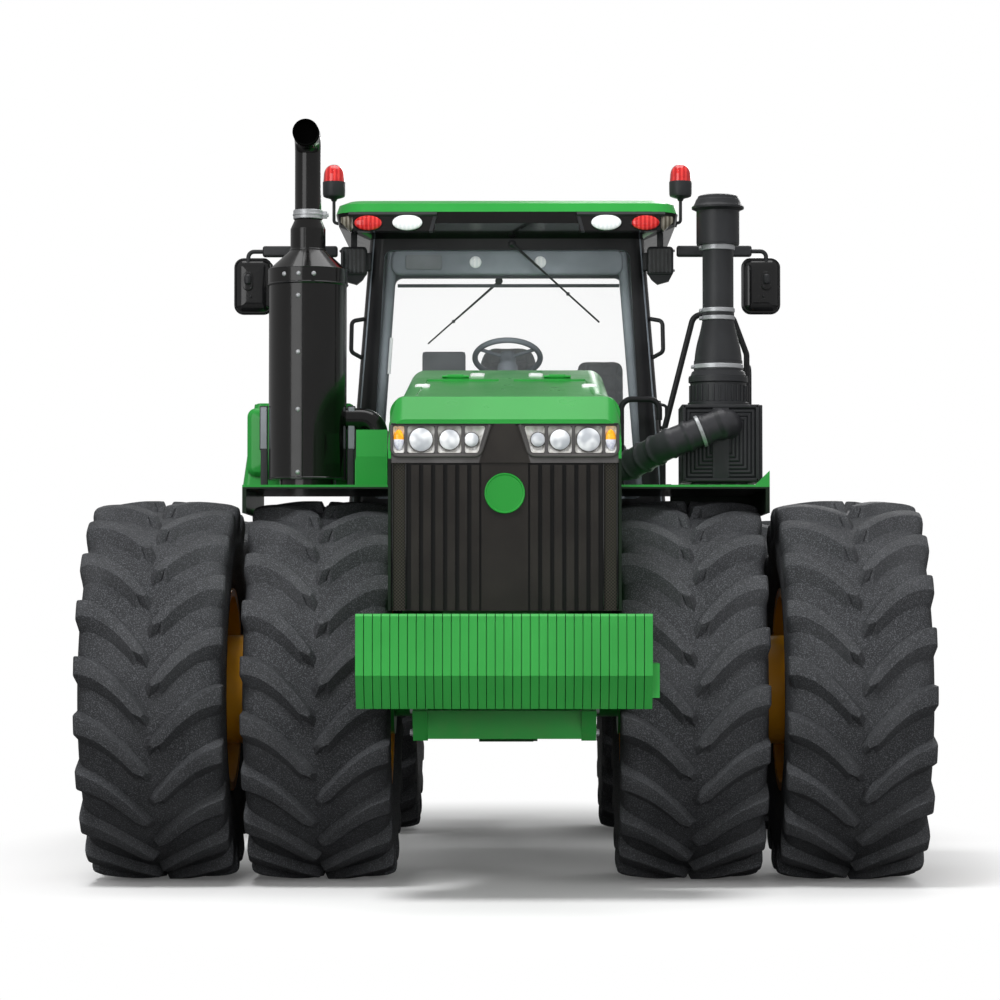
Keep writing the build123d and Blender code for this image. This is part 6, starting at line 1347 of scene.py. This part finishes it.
def make_rear_trim():
    """Tail lamps on the fenders, the tank's cap, and the couplers' collars and caps."""
    black, red, amber, steel = pieces(4)
    cap = span("fuel_tank")[1] * (0, 1, 1) + (0.330, -0.350, 0)
    coupler_y = span("rear_frame")[1][1]
    turned(black, cap, Z, TANK_CAP, 40)
    turned(black, circle(cap + 0.014 * Z, 0.064, 16, X, Y), Z, TANK_CAP_GRIP, 8)
    for k, (x, z) in enumerate(COUPLER_PLACES):
        turned(steel, (x, coupler_y - 0.072, z), Y, COUPLER_COLLAR, 32)
        turned(red if k % 2 else black, (x, coupler_y, z), Y, COUPLER_CAP, 32)
    for side in SIDES:
        centre = TAIL_LAMP * (side, 1, 1)
        slab(black, centre, -X, Z, (0.230, 0.130), 0.022, 0.100, 0.008)
        slab(red, centre + (side * 0.042, 0.096, 0.0), -X, Z, (0.120, 0.100), 0.014, 0.014, 0.005)
        slab(amber, centre + (-side * 0.058, 0.096, 0.0), -X, Z, (0.070, 0.100), 0.014, 0.014, 0.005)
    black.build("rear_trim", "soft_black", "chassis_rear")
    red.build("tail_lamps_red", "red_lens", "chassis_rear")
    amber.build("tail_lamps_amber", "amber_lens", "chassis_rear")
    steel.build("coupler_collars", "steel", "chassis_rear")


def make_rear_work_lamps():
    """Four round work lamps under the roof's rear edge, each in a black housing on a bracket."""
    housings, lenses = pieces(2)
    for x in WORK_LAMPS_X:
        centre = np.array([x, 0.775, 3.690])
        turned(housings, centre - 0.045 * Y, Y, WORK_LAMP, 36)
        box(housings, centre + (-0.012, -0.040, 0.030), centre + (0.012, -0.010, 0.078), 0.003)
        turned(lenses, centre + 0.001 * Y, Y, WORK_LAMP_GLASS, 36)
    housings.build("rear_lamp_housings", "soft_black")
    lenses.build("rear_lamp_lenses", "bright_lens", sharp=60)


def make_cylinders():
    """Glands, bands and hose unions of the steering cylinders."""
    for side, name in zip(SIDES, SIDE_NAMES):
        start = np.array([side * 0.470, PIVOT_Y - 0.950, CYLINDER_Z])
        way = unit(np.array([side * 0.330, PIVOT_Y + 0.120, CYLINDER_Z]) - start)
        steel, black = pieces(2)
        turned(black, start + way * 0.660, way, CYLINDER_GLAND, 40)
        turned(black, start + way * 0.110, way, CYLINDER_BAND, 40)
        for place in (0.150, 0.590):
            turned(steel, start + way * place, Z, HOSE_UNION, 6)
        black.build(f"cylinder_caps_{name}", "black_metal", f"steering_barrel_{name}")
        steel.build(f"cylinder_unions_{name}", "steel", f"steering_barrel_{name}")


def make_mount_rings():
    """Rubber rings of the cab's four mounts."""
    rings = Piece()
    for place in lattice([-0.650, 0.650], [-0.560, 0.170], [1.470, 1.520, 1.570]):
        turned(rings, place, Z, MOUNT_RING, 40)
    rings.build("cab_mount_rings", "hose_rubber")


for make_parts in (
        make_tyres, make_headlights, make_nose, make_exhaust, make_cleaner, make_hose, make_roof_lamps,
        make_beacons, make_corner_lamps, make_mirrors, make_wipers, make_lining, make_cab_trim,
        make_seats, make_controls, make_wheels, make_frame_bolts, make_platform_trim, make_ladder,
        make_rear_trim, make_rear_work_lamps, make_cylinders, make_mount_rings):
    make_parts()


# ---------------------------------------------------------------- floor and background
FLOOR_HALF, FLOOR_Z = 40.0, -0.001
FADE_LOW, FADE_HIGH = 2.1, 3.1               # where the floor's tone starts to give way to white, and ends
EYE_LIGHT, SOFT_LIGHT = 1.0, 0.30            # strength of the background, as seen and as it lights the object


def make_stage():
    """Pale floor that fades to the white background away from the tractor, and throws little light back."""
    mesh = bpy.data.meshes.new("floor")
    line = (-FLOOR_HALF, 0, FLOOR_HALF)
    mesh.from_pydata([(x, y, FLOOR_Z) for y in line for x in line], [],
                     [(k, k + 1, k + 4, k + 3) for k in (0, 1, 3, 4)])
    made = Finish("floor", srgb(246, 246, 246), 0.9)
    x, y, _ = made.axes()
    away = ((x * x * 0.8 + y * y * 0.30) ** 0.5).step(FADE_LOW, FADE_HIGH)
    camera = made.node("ShaderNodeLightPath", {}, {}, "Is Camera Ray")
    made.set("Base Color", made.mix(camera, srgb(96, 96, 96), srgb(250, 250, 250)))
    white = made.tree.nodes.new("ShaderNodeEmission")
    blend = made.tree.nodes.new("ShaderNodeMixShader")
    made.put(blend.inputs[0], (away * 0.94 + 0.06) * camera)
    made.tree.links.new(made.shader.outputs[0], blend.inputs[1])
    made.tree.links.new(white.outputs[0], blend.inputs[2])
    made.tree.links.new(blend.outputs[0], made.tree.nodes["Material Output"].inputs[0])
    mesh.materials.append(made.material)
    floor = bpy.data.objects.new("floor", mesh)
    bpy.context.scene.collection.objects.link(floor)


def make_world():
    """White to the eye and through glass, and a soft grey light on the object."""
    world = bpy.data.worlds.new("studio")
    world.use_nodes = True
    bpy.context.scene.world = world
    tree = world.node_tree
    ground = tree.nodes["Background"]
    path = tree.nodes.new("ShaderNodeLightPath")
    seen, level = (tree.nodes.new("ShaderNodeMath") for _ in range(2))
    seen.operation, level.operation = "MAXIMUM", "MULTIPLY_ADD"
    tree.links.new(path.outputs["Is Camera Ray"], seen.inputs[0])
    tree.links.new(path.outputs["Is Transmission Ray"], seen.inputs[1])
    level.inputs[1].default_value, level.inputs[2].default_value = EYE_LIGHT - SOFT_LIGHT, SOFT_LIGHT
    tree.links.new(seen.outputs[0], level.inputs[0])
    tree.links.new(level.outputs[0], ground.inputs["Strength"])
    ground.inputs["Color"].default_value = (1, 1, 1, 1)


make_stage()
make_world()
